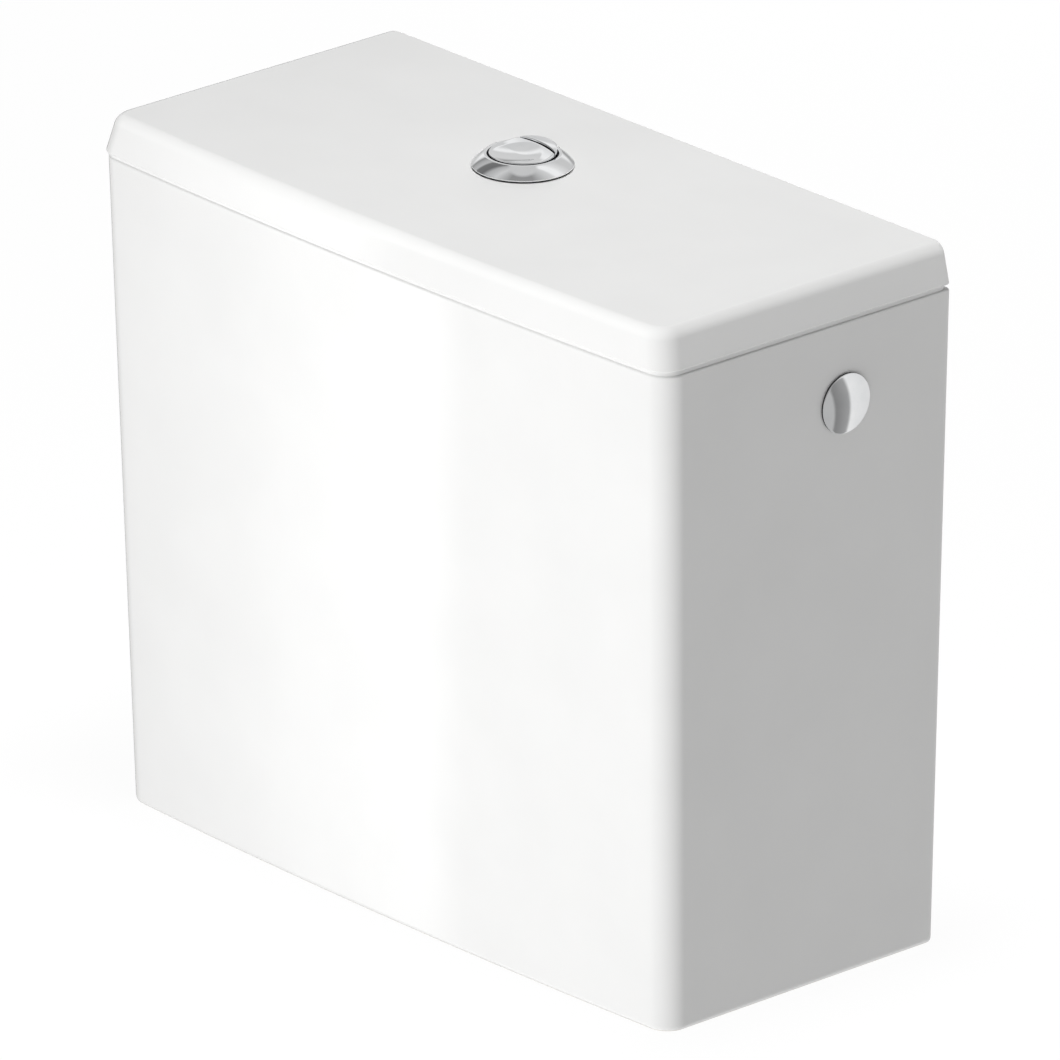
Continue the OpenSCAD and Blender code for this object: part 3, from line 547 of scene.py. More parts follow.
def make_tank():
    lip, fillet, vault = mm(2.5, 12, 8)
    rings = [tank_ring(SKIRT_H - a, WALL_T + b, True) for a, b in quarter(vault, 5)]
    rings += [tank_ring(b, WALL_T - a, True) for a, b in quarter(lip, 4)]
    rings += [tank_ring(a, b) for a, b in quarter(FOOT_R, 6)]
    rings += [tank_ring(TANK_H - b, a) for a, b in quarter(RIM_R, 5)]
    rings += [tank_ring(TANK_H - a, WALL_T - b, True) for a, b in quarter(lip, 5)]
    rings += [tank_ring(FLOOR_Z + b, WALL_T + a, True) for a, b in quarter(fillet, 6)]
    flare = 0.8 * MM
    cutters = [hole(0, 0, SKIRT_H, FLOOR_Z, TAIL_HOLE_R, flare)]
    cutters += [hole(s * BOLT_SPACING / 2, 0, SKIRT_H, FLOOR_Z, BOLT_HOLE_D / 2, flare) for s in (-1, 1)]
    cutters += [hole(0, 0, -WALL_T, 0, SIDE_HOLE_D / 2, flare, on_wall(s)) for s in (-1, 1)]
    new_piece("tank", "glazed", cut(loft(rings), *cutters))


# Lid

def lid_ring(h, front_in, side_in, rear_in, corner_r, rear_r):
    lean = h / LID_H
    front = FRONT_Y - LID_OVERHANG + LID_FRONT_LEAN * lean + front_in
    points = outline(HALF_W - LID_SIDE_LEAN * lean - side_in, front, REAR_Y - rear_in, corner_r, rear_r)
    return [(x, y, LID_Z + h) for x, y in points]


def lid_under(h, inset, forward=0):
    """Ring on the underside, inset from the tank's outline; at the front it may come forward."""
    return lid_ring(h, inset + LID_OVERHANG - forward, inset, inset,
                    max(FRONT_EDGE_R - inset, UNDER_R), UNDER_R)


def lid_outer(h, inset, rear_in):
    return lid_ring(h, inset, inset, rear_in, FRONT_EDGE_R - inset, REAR_EDGE_R - rear_in)


def make_lid():
    """Lid with a lip that drops into the tank, and a bead that all but fills the joint."""
    lip_in = WALL_T + LIP_GAP
    hollow = lip_in + LIP_T
    hollow_h = LID_H - LID_T
    lip_r, low_r, vault = mm(2, 0.8, 5)
    bead_in, inner, bead_h = mm(1.0, 4.1, 1.84)
    bead_r, edge_r = mm(0.5, 0.2)
    rings = [lid_under(hollow_h - a, hollow + b) for a, b in quarter(vault, 5)]
    rings += [lid_under(-LIP_DROP + b, hollow - a) for a, b in quarter(lip_r, 3)]
    rings += [lid_under(-LIP_DROP + a, lip_in + b) for a, b in quarter(lip_r, 3)]
    rings += [lid_under(-b, lip_in - a) for a, b in quarter(lip_r, 3)]
    rings += [lid_under(-a, inner + b) for a, b in quarter(bead_r, 2)]
    rings += [lid_under(-bead_h + b, inner - a) for a, b in quarter(bead_r, 2)]
    rings += [lid_under(-bead_h + a, bead_in + b, BEAD_FORWARD) for a, b in quarter(edge_r, 2)]
    rings += [lid_under(-b, bead_in - a, BEAD_FORWARD) for a, b in quarter(edge_r, 2)]
    rings += [lid_outer(a, b, b) for a, b in quarter(low_r, 4)]
    rings += [lid_outer(LID_H - b, a, rear)
              for (a, b), (rear, _) in zip(quarter(LID_EDGE_R, 10), quarter(LID_REAR_R, 10))]
    opening = hole(BUTTON_X, 0, LID_TOP - LID_T, LID_TOP, LID_HOLE_R, 0.4 * MM)
    new_piece("lid", "glazed", cut(loft(rings), opening))


def make_pads():
    lo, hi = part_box("lid_pads")
    wide, deep = mm(4.5, 20)
    pads = [bar(x, x + wide, y, y + deep, lo.z, hi.z, 0.5 * MM)
            for x in (lo.x, hi.x - wide) for y in (lo.y, hi.y - deep)]
    new_piece("lid_pads", "moulded", merged(*pads))


# Push button

OPENING_R = 16.6 * MM
PLATE_GAP = 0.8 * MM
PLATE_R = OPENING_R - PLATE_GAP
SPLIT_GAP = 0.7 * MM
SPLIT_Y = 8 * MM
SPLIT_BOW = 1.6 * MM
SPLIT_W = sqrt(PLATE_R ** 2 - SPLIT_Y ** 2)
SPLIT_R = (SPLIT_W ** 2 + SPLIT_BOW ** 2) / (2 * SPLIT_BOW)
SPLIT_CY = SPLIT_Y + SPLIT_BOW - SPLIT_R
SPLIT_TURN = Matrix.Rotation(radians(-4), 4, "Z")
CLIMB_Y = -2 * MM
DISH_R = 12 * MM
DISH_Y = -4 * MM
DISH_DEPTH = 1.2 * MM
FULL_LIFT = 0.6 * MM
FULL_RISE = 1.8 * MM
FULL_FOOT = RING_TOP - 8 * MM
HALF_RISE = 3.3 * MM
HALF_LONG_R = 150 * MM
HALF_CROSS_R = 30 * MM
SLEEVE_R = 18.5 * MM
SLEEVE_FLANGE_T = 1.8 * MM
SLEEVE_LIP = 2 * MM
ROD_R = 2.5 * MM


def make_ring():
    base, top_r = ring_hi.x - BUTTON_X, 18 * MM
    edge, bulge, lead = mm(0.8, 0.25, 0.3)
    low = ring_lo.z
    a, b = Vector((base, low + edge)), Vector((top_r, RING_TOP))
    out = Vector((b.y - a.y, a.x - b.x)).normalized()
    flank = [tuple(a.lerp(b, k / 12) + out * bulge * 4 * (k / 12) * (1 - k / 12)) for k in range(13)]
    rim = rounded([flank[-2], (top_r, RING_TOP), (OPENING_R, RING_TOP), (OPENING_R, low + 3 * MM)],
                  mm(0, 0.7, 0.45, 0), 5, closed=False)
    pocket = span("button_sleeve")[2] + 0.1 * MM
    shelf = low + SLEEVE_FLANGE_T
    foot = [(OPENING_R, shelf), (pocket, shelf), (pocket, low), (base - lead, low), (base, low + lead)]
    new_piece("button_ring", "turned", lathe(flank[:-2] + rim + foot, 160, place=at_button()), 40)


def capped(boundary, centre, insets, height, foot_z, place):
    """Plate over a boundary: an upright wall, then loops drawn in to the centre at their heights."""
    loops = [[(x, y, foot_z) for x, y in boundary]]
    for t, drop in insets:
        loop = []
        for x, y in boundary:
            px, py = centre[0] + (x - centre[0]) * t, centre[1] + (y - centre[1]) * t
            loop.append((px, py, height(px, py) - drop))
        loops.append(loop)
    bm = bmesh.new()
    rows = skin(bm, loops)
    tip = bm.verts.new((*centre, height(*centre)))
    for here, after in zip(rows[-1], rows[-1][1:] + rows[-1][:1]):
        bm.faces.new((here, after, tip))
    bm.faces.new(rows[0][::-1])
    return moved(bm, place)


def split_corner(gap):
    """Angles of the corner where the split meets the plate's circle, on both circles."""
    r = SPLIT_R + gap
    y = (PLATE_R ** 2 - r ** 2 + SPLIT_CY ** 2) / (2 * SPLIT_CY)
    x = sqrt(PLATE_R ** 2 - y ** 2)
    return atan2(y, x), atan2(y - SPLIT_CY, x)


def make_full_plate():
    a, b = split_corner(-SPLIT_GAP / 2)
    boundary = arc(0, 0, PLATE_R, pi - a, 2 * pi + a, 96)
    boundary += arc(0, SPLIT_CY, SPLIT_R - SPLIT_GAP / 2, b, pi - b, 40)[1:-1]
    boundary = rounded(boundary, [0.2 * MM if i in (0, 96) else 0 for i in range(len(boundary))], 4)

    def height(x, y):
        q = (x ** 2 + (y - DISH_Y) ** 2) / DISH_R ** 2
        soft = 0.05
        climb = max(0, y - CLIMB_Y) / (SPLIT_Y + SPLIT_BOW - CLIMB_Y)
        dish = ((1 - q) + sqrt((1 - q) ** 2 + soft ** 2)) / 2
        return RING_TOP + FULL_LIFT + FULL_RISE * climb ** 1.6 - DISH_DEPTH * dish

    edge = 0.5 * MM
    insets = [(1 - a / PLATE_R, b) for a, b in quarter(edge, 5)]
    insets += [(insets[-1][0] * (1 - k / 30), 0) for k in range(1, 30)]
    plate = capped(boundary, (0, -1.5 * MM), insets, height, FULL_FOOT, at_button() @ SPLIT_TURN)
    boss = rod(4 * MM, BOSS_Z, FULL_FOOT + 0.5 * MM, place=at_button(FULL_ROD_Y))
    new_piece("full_button", "plate", merged(plate, boss), 40)


def make_half_plate():
    a, b = split_corner(SPLIT_GAP / 2)
    boundary = arc(0, 0, PLATE_R, a, pi - a, 48)
    boundary += arc(0, SPLIT_CY, SPLIT_R + SPLIT_GAP / 2, pi - b, b, 40)[1:-1]
    boundary = rounded(boundary, [0.5 * MM if i in (0, 48) else 0 for i in range(len(boundary))], 4)
    dome_y = 13.5 * MM
    centre_y = 12.8 * MM

    def height(x, y):
        return RING_TOP + HALF_RISE - x ** 2 / (2 * HALF_LONG_R) - (y - dome_y) ** 2 / (2 * HALF_CROSS_R)

    edge, edge_share = 0.45 * MM, 0.22
    insets = [(1 - edge_share * (1 - cos(t)), edge * (1 - sin(t))) for t in turn(6)]
    insets += [(insets[-1][0] * (1 - k / 10), 0) for k in range(1, 10)]
    plate = capped(boundary, (0, centre_y), insets, height, BOSS_Z, at_button() @ SPLIT_TURN)
    boss = rod(3.5 * MM, BOSS_Z, BOSS_Z + 3 * MM, place=at_button(HALF_ROD_Y))
    new_piece("half_button", "plate", merged(plate, boss), 40)


def make_sleeve():
    foot, top, flange_r = span("button_sleeve")
    seat = top - SLEEVE_FLANGE_T
    profile = [(OPENING_R - SLEEVE_LIP, foot + 0.4 * MM), (OPENING_R - SLEEVE_LIP + 0.4 * MM, foot),
               (SLEEVE_R - 1.2 * MM, foot)]
    profile += thread(SLEEVE_R - 0.7 * MM, SLEEVE_R, 3 * MM, foot + 0.8 * MM, LID_TOP - LID_T)
    profile += rounded([(SLEEVE_R - 0.7 * MM, LID_TOP - LID_T), (SLEEVE_R - 0.7 * MM, seat), (flange_r, seat),
                        (flange_r, top), (OPENING_R, top), (OPENING_R, foot + SLEEVE_LIP),
                        (OPENING_R - SLEEVE_LIP, foot + SLEEVE_LIP)], 0.3 * MM, 3, closed=False)[1:]
    new_piece("button_sleeve", "threaded", lathe(profile, place=at_button()))
    low, high, corner_r = span("sleeve_nut")
    new_piece("sleeve_nut", "chamfered",
              nut(corner_r, 8, low, high, SLEEVE_R + 0.1 * MM, 2 * MM, at_button()))
    low, high, r = span("button_gasket")
    ring_piece("button_gasket", r, LID_HOLE_R, low, high, 0.25 * MM, place=at_button())
    low, high, r = span("rod_guide")
    holes = [hole(BUTTON_X, y, low, high, ROD_R + 0.3 * MM, 0.3 * MM) for y in (FULL_ROD_Y, HALF_ROD_Y)]
    new_piece("rod_guide", "moulded", cut(rod(r, low, high, 0.6 * MM, at_button(), 72), *holes))


def make_rod(node, y):
    """Push rod with a round tip and the collar that stops it under the guide."""
    tip, top, collar_r = span(node)
    collar_top = span("rod_guide")[0] - 0.3 * MM
    collar_low = collar_top - 3 * MM
    dome = [(ROD_R * sin(a), tip + ROD_R * (1 - cos(a))) for a in turn(6)]
    rest = rounded([dome[-1], (ROD_R, collar_low), (collar_r, collar_low), (collar_r, collar_top),
                    (ROD_R, collar_top), (ROD_R, top), (0, top)], 0.3 * MM, 3, closed=False)
    new_piece(node, "turned", lathe([(0, tip)] + dome[1:] + rest[1:], 40, False, at_button(y)))


def make_spring(node, y):
    """Coil with level end turns, on a mesh of its own."""
    low, high = span(node)[:2]
    wire_r, turns, steps, sides = 0.4 * MM, 6, 28, 12
    coil_r = 3.7 * MM
    rings = []
    for i in range(turns * steps + 1):
        a = -2 * pi * i / steps
        climb = min(max(i / steps - 0.5, 0), turns - 1) / (turns - 1)
        z = low + wire_r + (high - low - 2 * wire_r) * climb
        ring = []
        for k in range(sides):
            b = 2 * pi * k / sides
            r = coil_r + wire_r * cos(b)
            ring.append((BUTTON_X + r * cos(a), y + r * sin(a), z + wire_r * sin(b)))
        rings.append(ring)
    piece = new_piece(node, "coil", loft(rings))
    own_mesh(piece)


# Flush valve

TAIL_R = 29.8 * MM
OUTLET_R = 26 * MM
SEAT_R = 24.5 * MM
SEAT_W = 2.5 * MM
FLANGE_T = 4 * MM
TAIL_BORE_L = 36 * MM
CAGE_R = 41 * MM
RIB_W = 5 * MM
RIB_D = 6 * MM
CAGE_BORE_R = CAGE_R - RIB_D
CAGE_RING_T = 6 * MM
TUBE_R = 16 * MM
TUBE_T = 2 * MM
TUBE_TOP = 250 * MM
PORT_LOW, PORT_HIGH = mm(143.5, 159.5)
PORT_W = 12 * MM
TUBE_ARM_Z = 236 * MM
DECK_Z, DECK_TOP = mm(266, 270)
EAR_T = 3 * MM
EAR_YS = mm(-16.75, 0.75, 18.25)
HUB_HALF_L = 6.95 * MM
LIFT_X = 42 * MM
STEM_R = 2.5 * MM
STEM_HEAD_R = 5.2 * MM
STEM_HEAD_T = 3 * MM
PIVOT_X, PIVOT_Z = mm(10, 283)
PIN_R = 2 * MM
HUB_R = 5.5 * MM
LEVER_T = 5 * MM
EFFORT_ARM = 20.6 * MM
LIFT_ARM = 32 * MM
FORK_IN = 6.2 * MM
FORK_W = 11 * MM


def on_pivot(y):
    return shift(PIVOT_X, y, PIVOT_Z) @ CROSSWISE


def make_valve_base():
    seat = span("main_seal")[0]
    flange_z = span("base_seal")[1]
    foot, top, flange_r = span("valve_base")
    seat_out = SEAT_R + SEAT_W
    flange_top = flange_z + FLANGE_T
    lead, root = 0.6 * MM, TAIL_R - 0.9 * MM
    profile = [(OUTLET_R, foot + lead), (OUTLET_R + lead, foot), (TAIL_R - 1.6 * MM, foot)]
    profile += thread(root, TAIL_R, 4 * MM, foot + 1.2 * MM, FLOOR_Z - MM)
    shoulders = [(root, FLOOR_Z), (root, flange_z), (flange_r, flange_z), (flange_r, flange_top),
                 (seat_out, flange_top), (seat_out, seat), (SEAT_R, seat), (SEAT_R, TAIL_BORE_L),
                 (OUTLET_R, TAIL_BORE_L)]
    profile += rounded(shoulders, mm(0, 0.3, 0.9, 0.9, 0.8, 0.7, 0.7, 0.4, 0), 3, closed=False)
    meshes = [lathe(profile, 112), lathe(washer(CAGE_R, CAGE_BORE_R, top - CAGE_RING_T, top, 0.8 * MM), 112)]
    for k in range(6):
        place = Matrix.Rotation(radians(30 + 60 * k), 4, "Z")
        meshes.append(bar(CAGE_BORE_R, CAGE_R - MM, -RIB_W / 2, RIB_W / 2,
                          flange_z + MM, top - MM, 0.9 * MM, place))
        meshes.append(slab([(CAGE_R - 1.5 * MM, 0), (CAGE_R - 1.5 * MM, 9 * MM), (CAGE_R - 8 * MM, 0)],
                           -MM, MM, 0.3 * MM,
                           place @ shift(0, 0, flange_top - 0.5 * MM) @ CROSSWISE))
    new_piece("valve_base", "threaded", merged(*meshes))
    low, high, corner_r = span("back_nut")
    new_piece("back_nut", "chamfered", nut(corner_r, 8, low, high, TAIL_R + 0.1 * MM, 2.5 * MM))


def make_rings():
    """Seals and rings on the flush valve's axis."""
    for node, bore, edge in (("base_seal", 30.3, 1.0), ("main_seal", 16.1, 0.9), ("seal_retainer", 16.1, 0.8),
                             ("half_seal", 16.1, 0.7)):
        low, high, r = span(node)
        ring_piece(node, r, bore * MM, low, high, edge * MM)
    low, high, r = span("coupling_gasket")
    bore = TAIL_R + 0.5 * MM
    pocket_r, pocket_z = span("back_nut")[2] + 0.5 * MM, span("back_nut")[0]
    sides = [(bore, low), (r - 6 * MM, low), (r, low + 9 * MM), (r, high - 3 * MM), (r - 2 * MM, high),
             (pocket_r, high), (pocket_r, pocket_z), (bore, pocket_z)]
    new_piece("coupling_gasket", "moulded", lathe(rounded(sides, 1.4 * MM, 5), 112))
    low, high, r = span("float_ring")
    bore, wall = TUBE_R + 0.1 * MM, 2 * MM
    sides = [(r, low), (r, high), (bore, high), (bore, low), (bore + wall, low), (bore + wall, high - wall),
             (r - wall, high - wall), (r - wall, low)]
    edges = mm(0.5, 3, 0.8, 0.5, 0.5, 1, 1.6, 0.5)
    new_piece("float_ring", "moulded", lathe(rounded(sides, edges, 4)))


def lift_stem(y, arm_z, start, head_top):
    """Arm out of a tube, with the headed stem that a lever's fork lifts."""
    at = shift(LIFT_X, y)
    arm = 6 * MM
    return [bar(start, LIFT_X + arm / 2, y - arm / 2, y + arm / 2, arm_z, arm_z + arm, 0.9 * MM),
            rod(STEM_R, arm_z + MM, head_top - MM, place=at),
            rod(STEM_HEAD_R, head_top - STEM_HEAD_T, head_top, 0.8 * MM, at)]


def make_tubes():
    foot, head_top = span("overflow_tube")[:2]
    plate_z = span("main_seal")[1]
    collar_top = span("half_seal")[0]
    shoulder_top = span("float_ring")[0]
    inner = TUBE_R - TUBE_T
    collars = ((29 * MM, plate_z, plate_z + 3 * MM), (22 * MM, collar_top - 4 * MM, collar_top),
               (20 * MM, shoulder_top - 3 * MM, shoulder_top))
    sides = [(TUBE_R, foot)]
    for r, low, high in collars:
        sides += [(TUBE_R, low), (r, low), (r, high), (TUBE_R, high)]
    sides += [(TUBE_R, TUBE_TOP), (inner, TUBE_TOP), (inner, foot)]
    edges = mm(0.5, 0.2, 0.8, 0.8, 2, 1.5, 0.7, 0.7, 0.3, 1.5, 0.7, 0.7, 0.3, 0.8, 0.8, 0.5)
    ports = [bar(-2 * TUBE_R, 2 * TUBE_R, -PORT_W / 2, PORT_W / 2, PORT_LOW, PORT_HIGH, 1.5 * MM,
                 Matrix.Rotation(a, 4, "Z")) for a in (0, pi / 2)]
    tube = cut(lathe(rounded(sides, edges, 3)), *ports)
    stem = lift_stem(FULL_ROD_Y, TUBE_ARM_Z, TUBE_R - MM, head_top)
    new_piece("overflow_tube", "ported", merged(tube, *stem))
    low, head_top = span("half_sleeve")[:2]
    high = low + 30 * MM
    shell = lathe(washer(20 * MM, TUBE_R + 0.3 * MM, low, high, 0.8 * MM))
    stem = lift_stem(HALF_ROD_Y, high - 6 * MM, TUBE_R + 1.2 * MM, head_top)
    new_piece("half_sleeve", "moulded", merged(shell, *stem))


def make_bridge():
    lo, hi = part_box("valve_bridge")
    low = lo.z
    post_at = (CAGE_R - RIB_D / 2) / sqrt(2)
    meshes = [lathe(washer(CAGE_R, CAGE_BORE_R, low, low + 5 * MM, 0.8 * MM), 112)]
    thick, thin = mm(4.6, 3.5)
    post = [(0, low + MM), (thick, low + MM), (thick, low + 7 * MM), (thin, low + 13 * MM),
            (thin, DECK_Z - 8 * MM), (thick, DECK_Z - MM), (thick, DECK_Z + MM), (0, DECK_Z + MM)]
    post = rounded(post, MM, 3, closed=False)
    for x in (-post_at, post_at):
        for y in (-post_at, post_at):
            meshes.append(lathe(post, 36, False, shift(x, y)))
    half = 32 * MM
    corners = rounded([(-half, -half), (hi.x, -half), (hi.x, half), (-half, half)], 6 * MM, 6)
    holes = [hole(LIFT_X, y, DECK_Z, DECK_TOP, STEM_R + 0.3 * MM, 0.3 * MM) for y in (FULL_ROD_Y, HALF_ROD_Y)]
    meshes.append(cut(slab(corners, DECK_Z, DECK_TOP, 0.8 * MM), *holes))
    root = DECK_TOP - PIVOT_Z - MM
    ear = [(-HUB_R, root), (HUB_R, root)] + arc(0, 0, HUB_R, 0, pi, 18)
    for y in EAR_YS:
        meshes.append(slab(ear, -EAR_T / 2, EAR_T / 2, 0.4 * MM, on_pivot(y)))
    new_piece("valve_bridge", "moulded", merged(*meshes))


def make_levers():
    for node, y in (("full_lever", FULL_ROD_Y), ("half_lever", HALF_ROD_Y)):
        at = on_pivot(y)
        half, deep = LEVER_T / 2, 4.2 * MM
        nose = arc(-EFFORT_ARM, 0, half, pi / 2, 3 * pi / 2, 10)
        arm = nose + [(-13 * MM, -half), (-3.4 * MM, -deep), (-3.4 * MM, deep), (-13 * MM, half)]
        tip = arc(LIFT_ARM, 0, half, -pi / 2, pi / 2, 10)
        prong = [(3.4 * MM, -deep), (16 * MM, -half)] + tip + [(16 * MM, half), (3.4 * MM, deep)]
        fork = LIFT_ARM - FORK_IN / 2
        web = [(3.2 * MM, -half), (fork, -half), (fork, half), (3.2 * MM, half)]
        meshes = [lathe(washer(HUB_R, PIN_R + 0.05 * MM, -HUB_HALF_L, HUB_HALF_L, 0.5 * MM), 48, place=at),
                  slab(arm, -3.5 * MM, 3.5 * MM, 0.6 * MM, at),
                  slab(web, -FORK_IN / 2, FORK_IN / 2, 0.3 * MM, at)]
        for side in (-1, 1):
            ends = sorted((side * FORK_IN / 2, side * FORK_W / 2))
            meshes.append(slab(prong, *ends, 0.5 * MM, at))
        new_piece(node, "moulded", merged(*meshes))
    lo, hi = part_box("lever_pin")
    head = -lo.y
    pin = rounded([(0, head), (3.5 * MM, head), (3.5 * MM, head - 1.5 * MM), (PIN_R, head - 1.5 * MM),
                   (PIN_R, -hi.y), (0, -hi.y)], mm(0, 0.6, 0.2, 0, 0.5, 0), 3, closed=False)
    new_piece("lever_pin", "turned", lathe(pin, 40, False, on_pivot(0)))


# Fill valve on the left wall

SHANK_R = 8.3 * MM
SHANK_ROOT_R = 9.1 * MM
SHANK_BORE_R = 5 * MM
SHANK_PITCH = 1.34 * MM
INNER_FACE = -12 * MM
SHANK_NUT_H = 8 * MM
SHANK_END = 26 * MM
CHAMBER_Z = -53 * MM
CHAMBER_T = 18 * MM
HEAD_R = 20 * MM
BARREL_R = 9 * MM
SHANK_FLANGE_R = 15 * MM
SHANK_FLANGE_T = 4 * MM
DIAPHRAGM_T = 3 * MM
HEAD_CAP_T = 11 * MM
SPIGOT_R = 7 * MM
ARM_PIN = middle("float_arm_pin")
FLOAT_DROP = radians(20)
FLOAT_ARM_L = 52 * MM
SCREW_R = 2.5 * MM
FLOAT_TOP = -20 * MM


def make_fill_valve():
    left = on_wall(-1)
    flange_z = INNER_FACE - SHANK_FLANGE_T
    root, well = SHANK_ROOT_R - 0.6 * MM, CHAMBER_Z + 4 * MM
    body = rounded([(0, CHAMBER_Z), (HEAD_R, CHAMBER_Z), (HEAD_R, CHAMBER_Z + CHAMBER_T),
                    (BARREL_R, CHAMBER_Z + CHAMBER_T), (BARREL_R, flange_z), (SHANK_FLANGE_R, flange_z),
                    (SHANK_FLANGE_R, INNER_FACE), (root, INNER_FACE)],
                   mm(0, 0.6, 2.5, 2, 2, 0.8, 0.5, 0), 4, closed=False)
    body += thread(root, SHANK_ROOT_R, SHANK_PITCH, INNER_FACE + 0.5 * MM, SHANK_NUT_H - 0.2 * MM)
    body += thread(SHANK_R - 0.6 * MM, SHANK_R, SHANK_PITCH, SHANK_NUT_H, SHANK_END - 0.8 * MM)
    body += [(SHANK_R - 1.2 * MM, SHANK_END), (SHANK_BORE_R + 0.3 * MM, SHANK_END),
             (SHANK_BORE_R, SHANK_END - 0.3 * MM), (SHANK_BORE_R, well), (0, well)]
    low, high, r = span("fall_tube")
    centre = middle("fall_tube")
    fall_at = shift(centre.x, centre.y)
    spigot = washer(SPIGOT_R, SPIGOT_R - 2 * MM, high - 16 * MM, high + 12 * MM, 0.5 * MM)
    meshes = [lathe(body, 80, False, left), lathe(spigot, 56, place=fall_at)]
    new_piece("fill_valve_body", "threaded", merged(*meshes))
    tube = [(r, low), (r, high - 7 * MM), (r + 0.7 * MM, high - 5.5 * MM), (r + 0.7 * MM, high),
            (SPIGOT_R + 0.1 * MM, high), (SPIGOT_R + 0.1 * MM, low)]
    new_piece("fall_tube", "moulded", lathe(rounded(tube, 0.5 * MM, 3), 64, place=fall_at))
    bore = SHANK_ROOT_R + 0.1 * MM
    ring_piece("shank_gasket", SHANK_FLANGE_R, bore, INNER_FACE, INNER_FACE + 3 * MM, 0.8 * MM, 72, left)
    new_piece("shank_nut", "chamfered", nut(15 * MM, 6, 0, SHANK_NUT_H, bore, place=left))
    new_piece("diaphragm", "moulded", rod(18.5 * MM, CHAMBER_Z - DIAPHRAGM_T, CHAMBER_Z, 0.9 * MM, left, 72))
    make_strainer(left)
    make_head_cap(left)


def make_strainer(left):
    """Cup with a fine grid across its mouth, pushed into the shank's end."""
    r, wall, deep = mm(4.5, 1, 14)
    low, high, rim_r = SHANK_END - deep, SHANK_END + wall, 7 * MM
    inner, floor = r - wall, low + 1.5 * MM
    cup = rounded([(0, low), (r, low), (r, SHANK_END), (rim_r, SHANK_END), (rim_r, high), (inner, high),
                   (inner, floor), (0, floor)], 0.3 * MM, 2, closed=False)
    meshes = [lathe(cup, 56, False, left)]
    wire = 0.2 * MM
    for k in range(-2, 3):
        at = k * 1.2 * MM
        reach = sqrt((r - wall / 2) ** 2 - at ** 2)
        for angle in (0, pi / 2):
            place = left @ Matrix.Rotation(angle, 4, "Z")
            meshes.append(bar(-reach, reach, at - wire, at + wire, SHANK_END - 1.4 * MM, SHANK_END - 0.8 * MM,
                              0.08 * MM, place))
    new_piece("inlet_strainer", "gridded", merged(*meshes))


def make_head_cap(left):
    """Screw cap with a fluted grip and the two lugs that carry the float arm."""
    face = CHAMBER_Z - DIAPHRAGM_T - HEAD_CAP_T
    flutes = 30
    grip, chamfer = fluted(HEAD_R, 0.7 * MM, flutes), fluted(HEAD_R - 0.6 * MM, 0.4 * MM, flutes)
    top = CHAMBER_Z - DIAPHRAGM_T
    dome = [(HEAD_R * 0.9 * k / 6, face + 0.9 * MM * (k / 6) ** 2) for k in range(7)]
    side = [(chamfer, face + 1.6 * MM), (grip, face + 2.6 * MM), (grip, top - 2.8 * MM),
            (HEAD_R - 0.1 * MM, top - 2.2 * MM), (HEAD_R, top - 1.8 * MM), (HEAD_R, top - 0.3 * MM),
            (HEAD_R - 0.3 * MM, top), (0, top)]
    meshes = [lathe(dome + side, 180, False, left)]
    lug_r, lug_l, lug_t, lug_gap = mm(4.5, 8, 3, 8)
    lug = [(-lug_l, -lug_r)] + arc(0, 0, lug_r, -pi / 2, pi / 2, 14) + [(-lug_l, lug_r)]
    for s in (-1, 1):
        at = shift(ARM_PIN.x, ARM_PIN.y + s * (lug_gap + lug_t) / 2, ARM_PIN.z) @ CROSSWISE
        meshes.append(slab(lug, -lug_t / 2, lug_t / 2, 0.5 * MM, at))
    new_piece("head_cap", "fluted", merged(*meshes))
    pin_at = Matrix.Translation(ARM_PIN) @ CROSSWISE
    new_piece("float_arm_pin", "turned", rod(1.5 * MM, -8 * MM, 8 * MM, 0.4 * MM, pin_at, 28))


def make_float():
    hung = Matrix.Translation(ARM_PIN) @ Matrix.Rotation(FLOAT_DROP, 4, "Y")
    at_screw = hung @ shift(FLOAT_ARM_L, 0)
    half_w, half_t, eye_r = mm(3.7, 2.5, 6.5)
    neck = pi - asin(half_w / eye_r)
    shape = [(2.2 * MM, half_w), (2.2 * MM, -half_w)] + arc(FLOAT_ARM_L, 0, eye_r, -neck, neck, 28)
    hub = lathe(washer(4 * MM, 1.55 * MM, -half_w, half_w, 0.4 * MM), 36, place=hung @ CROSSWISE)
    bore = hole(0, 0, -half_t, half_t, SCREW_R + 0.1 * MM, 0.2 * MM, at_screw)
    new_piece("float_arm", "moulded", merged(cut(slab(shape, -half_t, half_t, 0.7 * MM, hung), bore), hub))
    knob_r, knob_t, top = mm(5.5, 4, 9)
    grip = fluted(knob_r, 0.6 * MM, 12)
    core = SCREW_R - 0.45 * MM
    screw = [(0, FLOAT_TOP), (core, FLOAT_TOP)]
    screw += thread(core, SCREW_R, 1.5 * MM, FLOAT_TOP, half_t - 0.1 * MM)
    knob_top, neck_r = half_t + knob_t, knob_r - 0.6 * MM
    screw += [(core, half_t), (neck_r, half_t), (grip, half_t + 0.5 * MM), (grip, knob_top - 0.5 * MM),
              (neck_r, knob_top), (SCREW_R, knob_top), (SCREW_R, top - 0.5 * MM), (SCREW_R - 0.5 * MM, top),
              (0, top)]
    new_piece("float_screw", "threaded", lathe(screw, 72, False, at_screw))
    r, wall, deep = mm(20, 2, 40)
    cup = rounded([(0, FLOAT_TOP), (r, FLOAT_TOP), (r, FLOAT_TOP - deep), (r - wall, FLOAT_TOP - deep),
                   (r - wall, FLOAT_TOP - wall), (0, FLOAT_TOP - wall)],
                  mm(0, 3, 0.6, 0.6, 1.6, 0), 5, closed=False)
    new_piece("float_cup", "moulded", lathe(cup, 80, False, at_screw))


# Blanking cap on the right wall

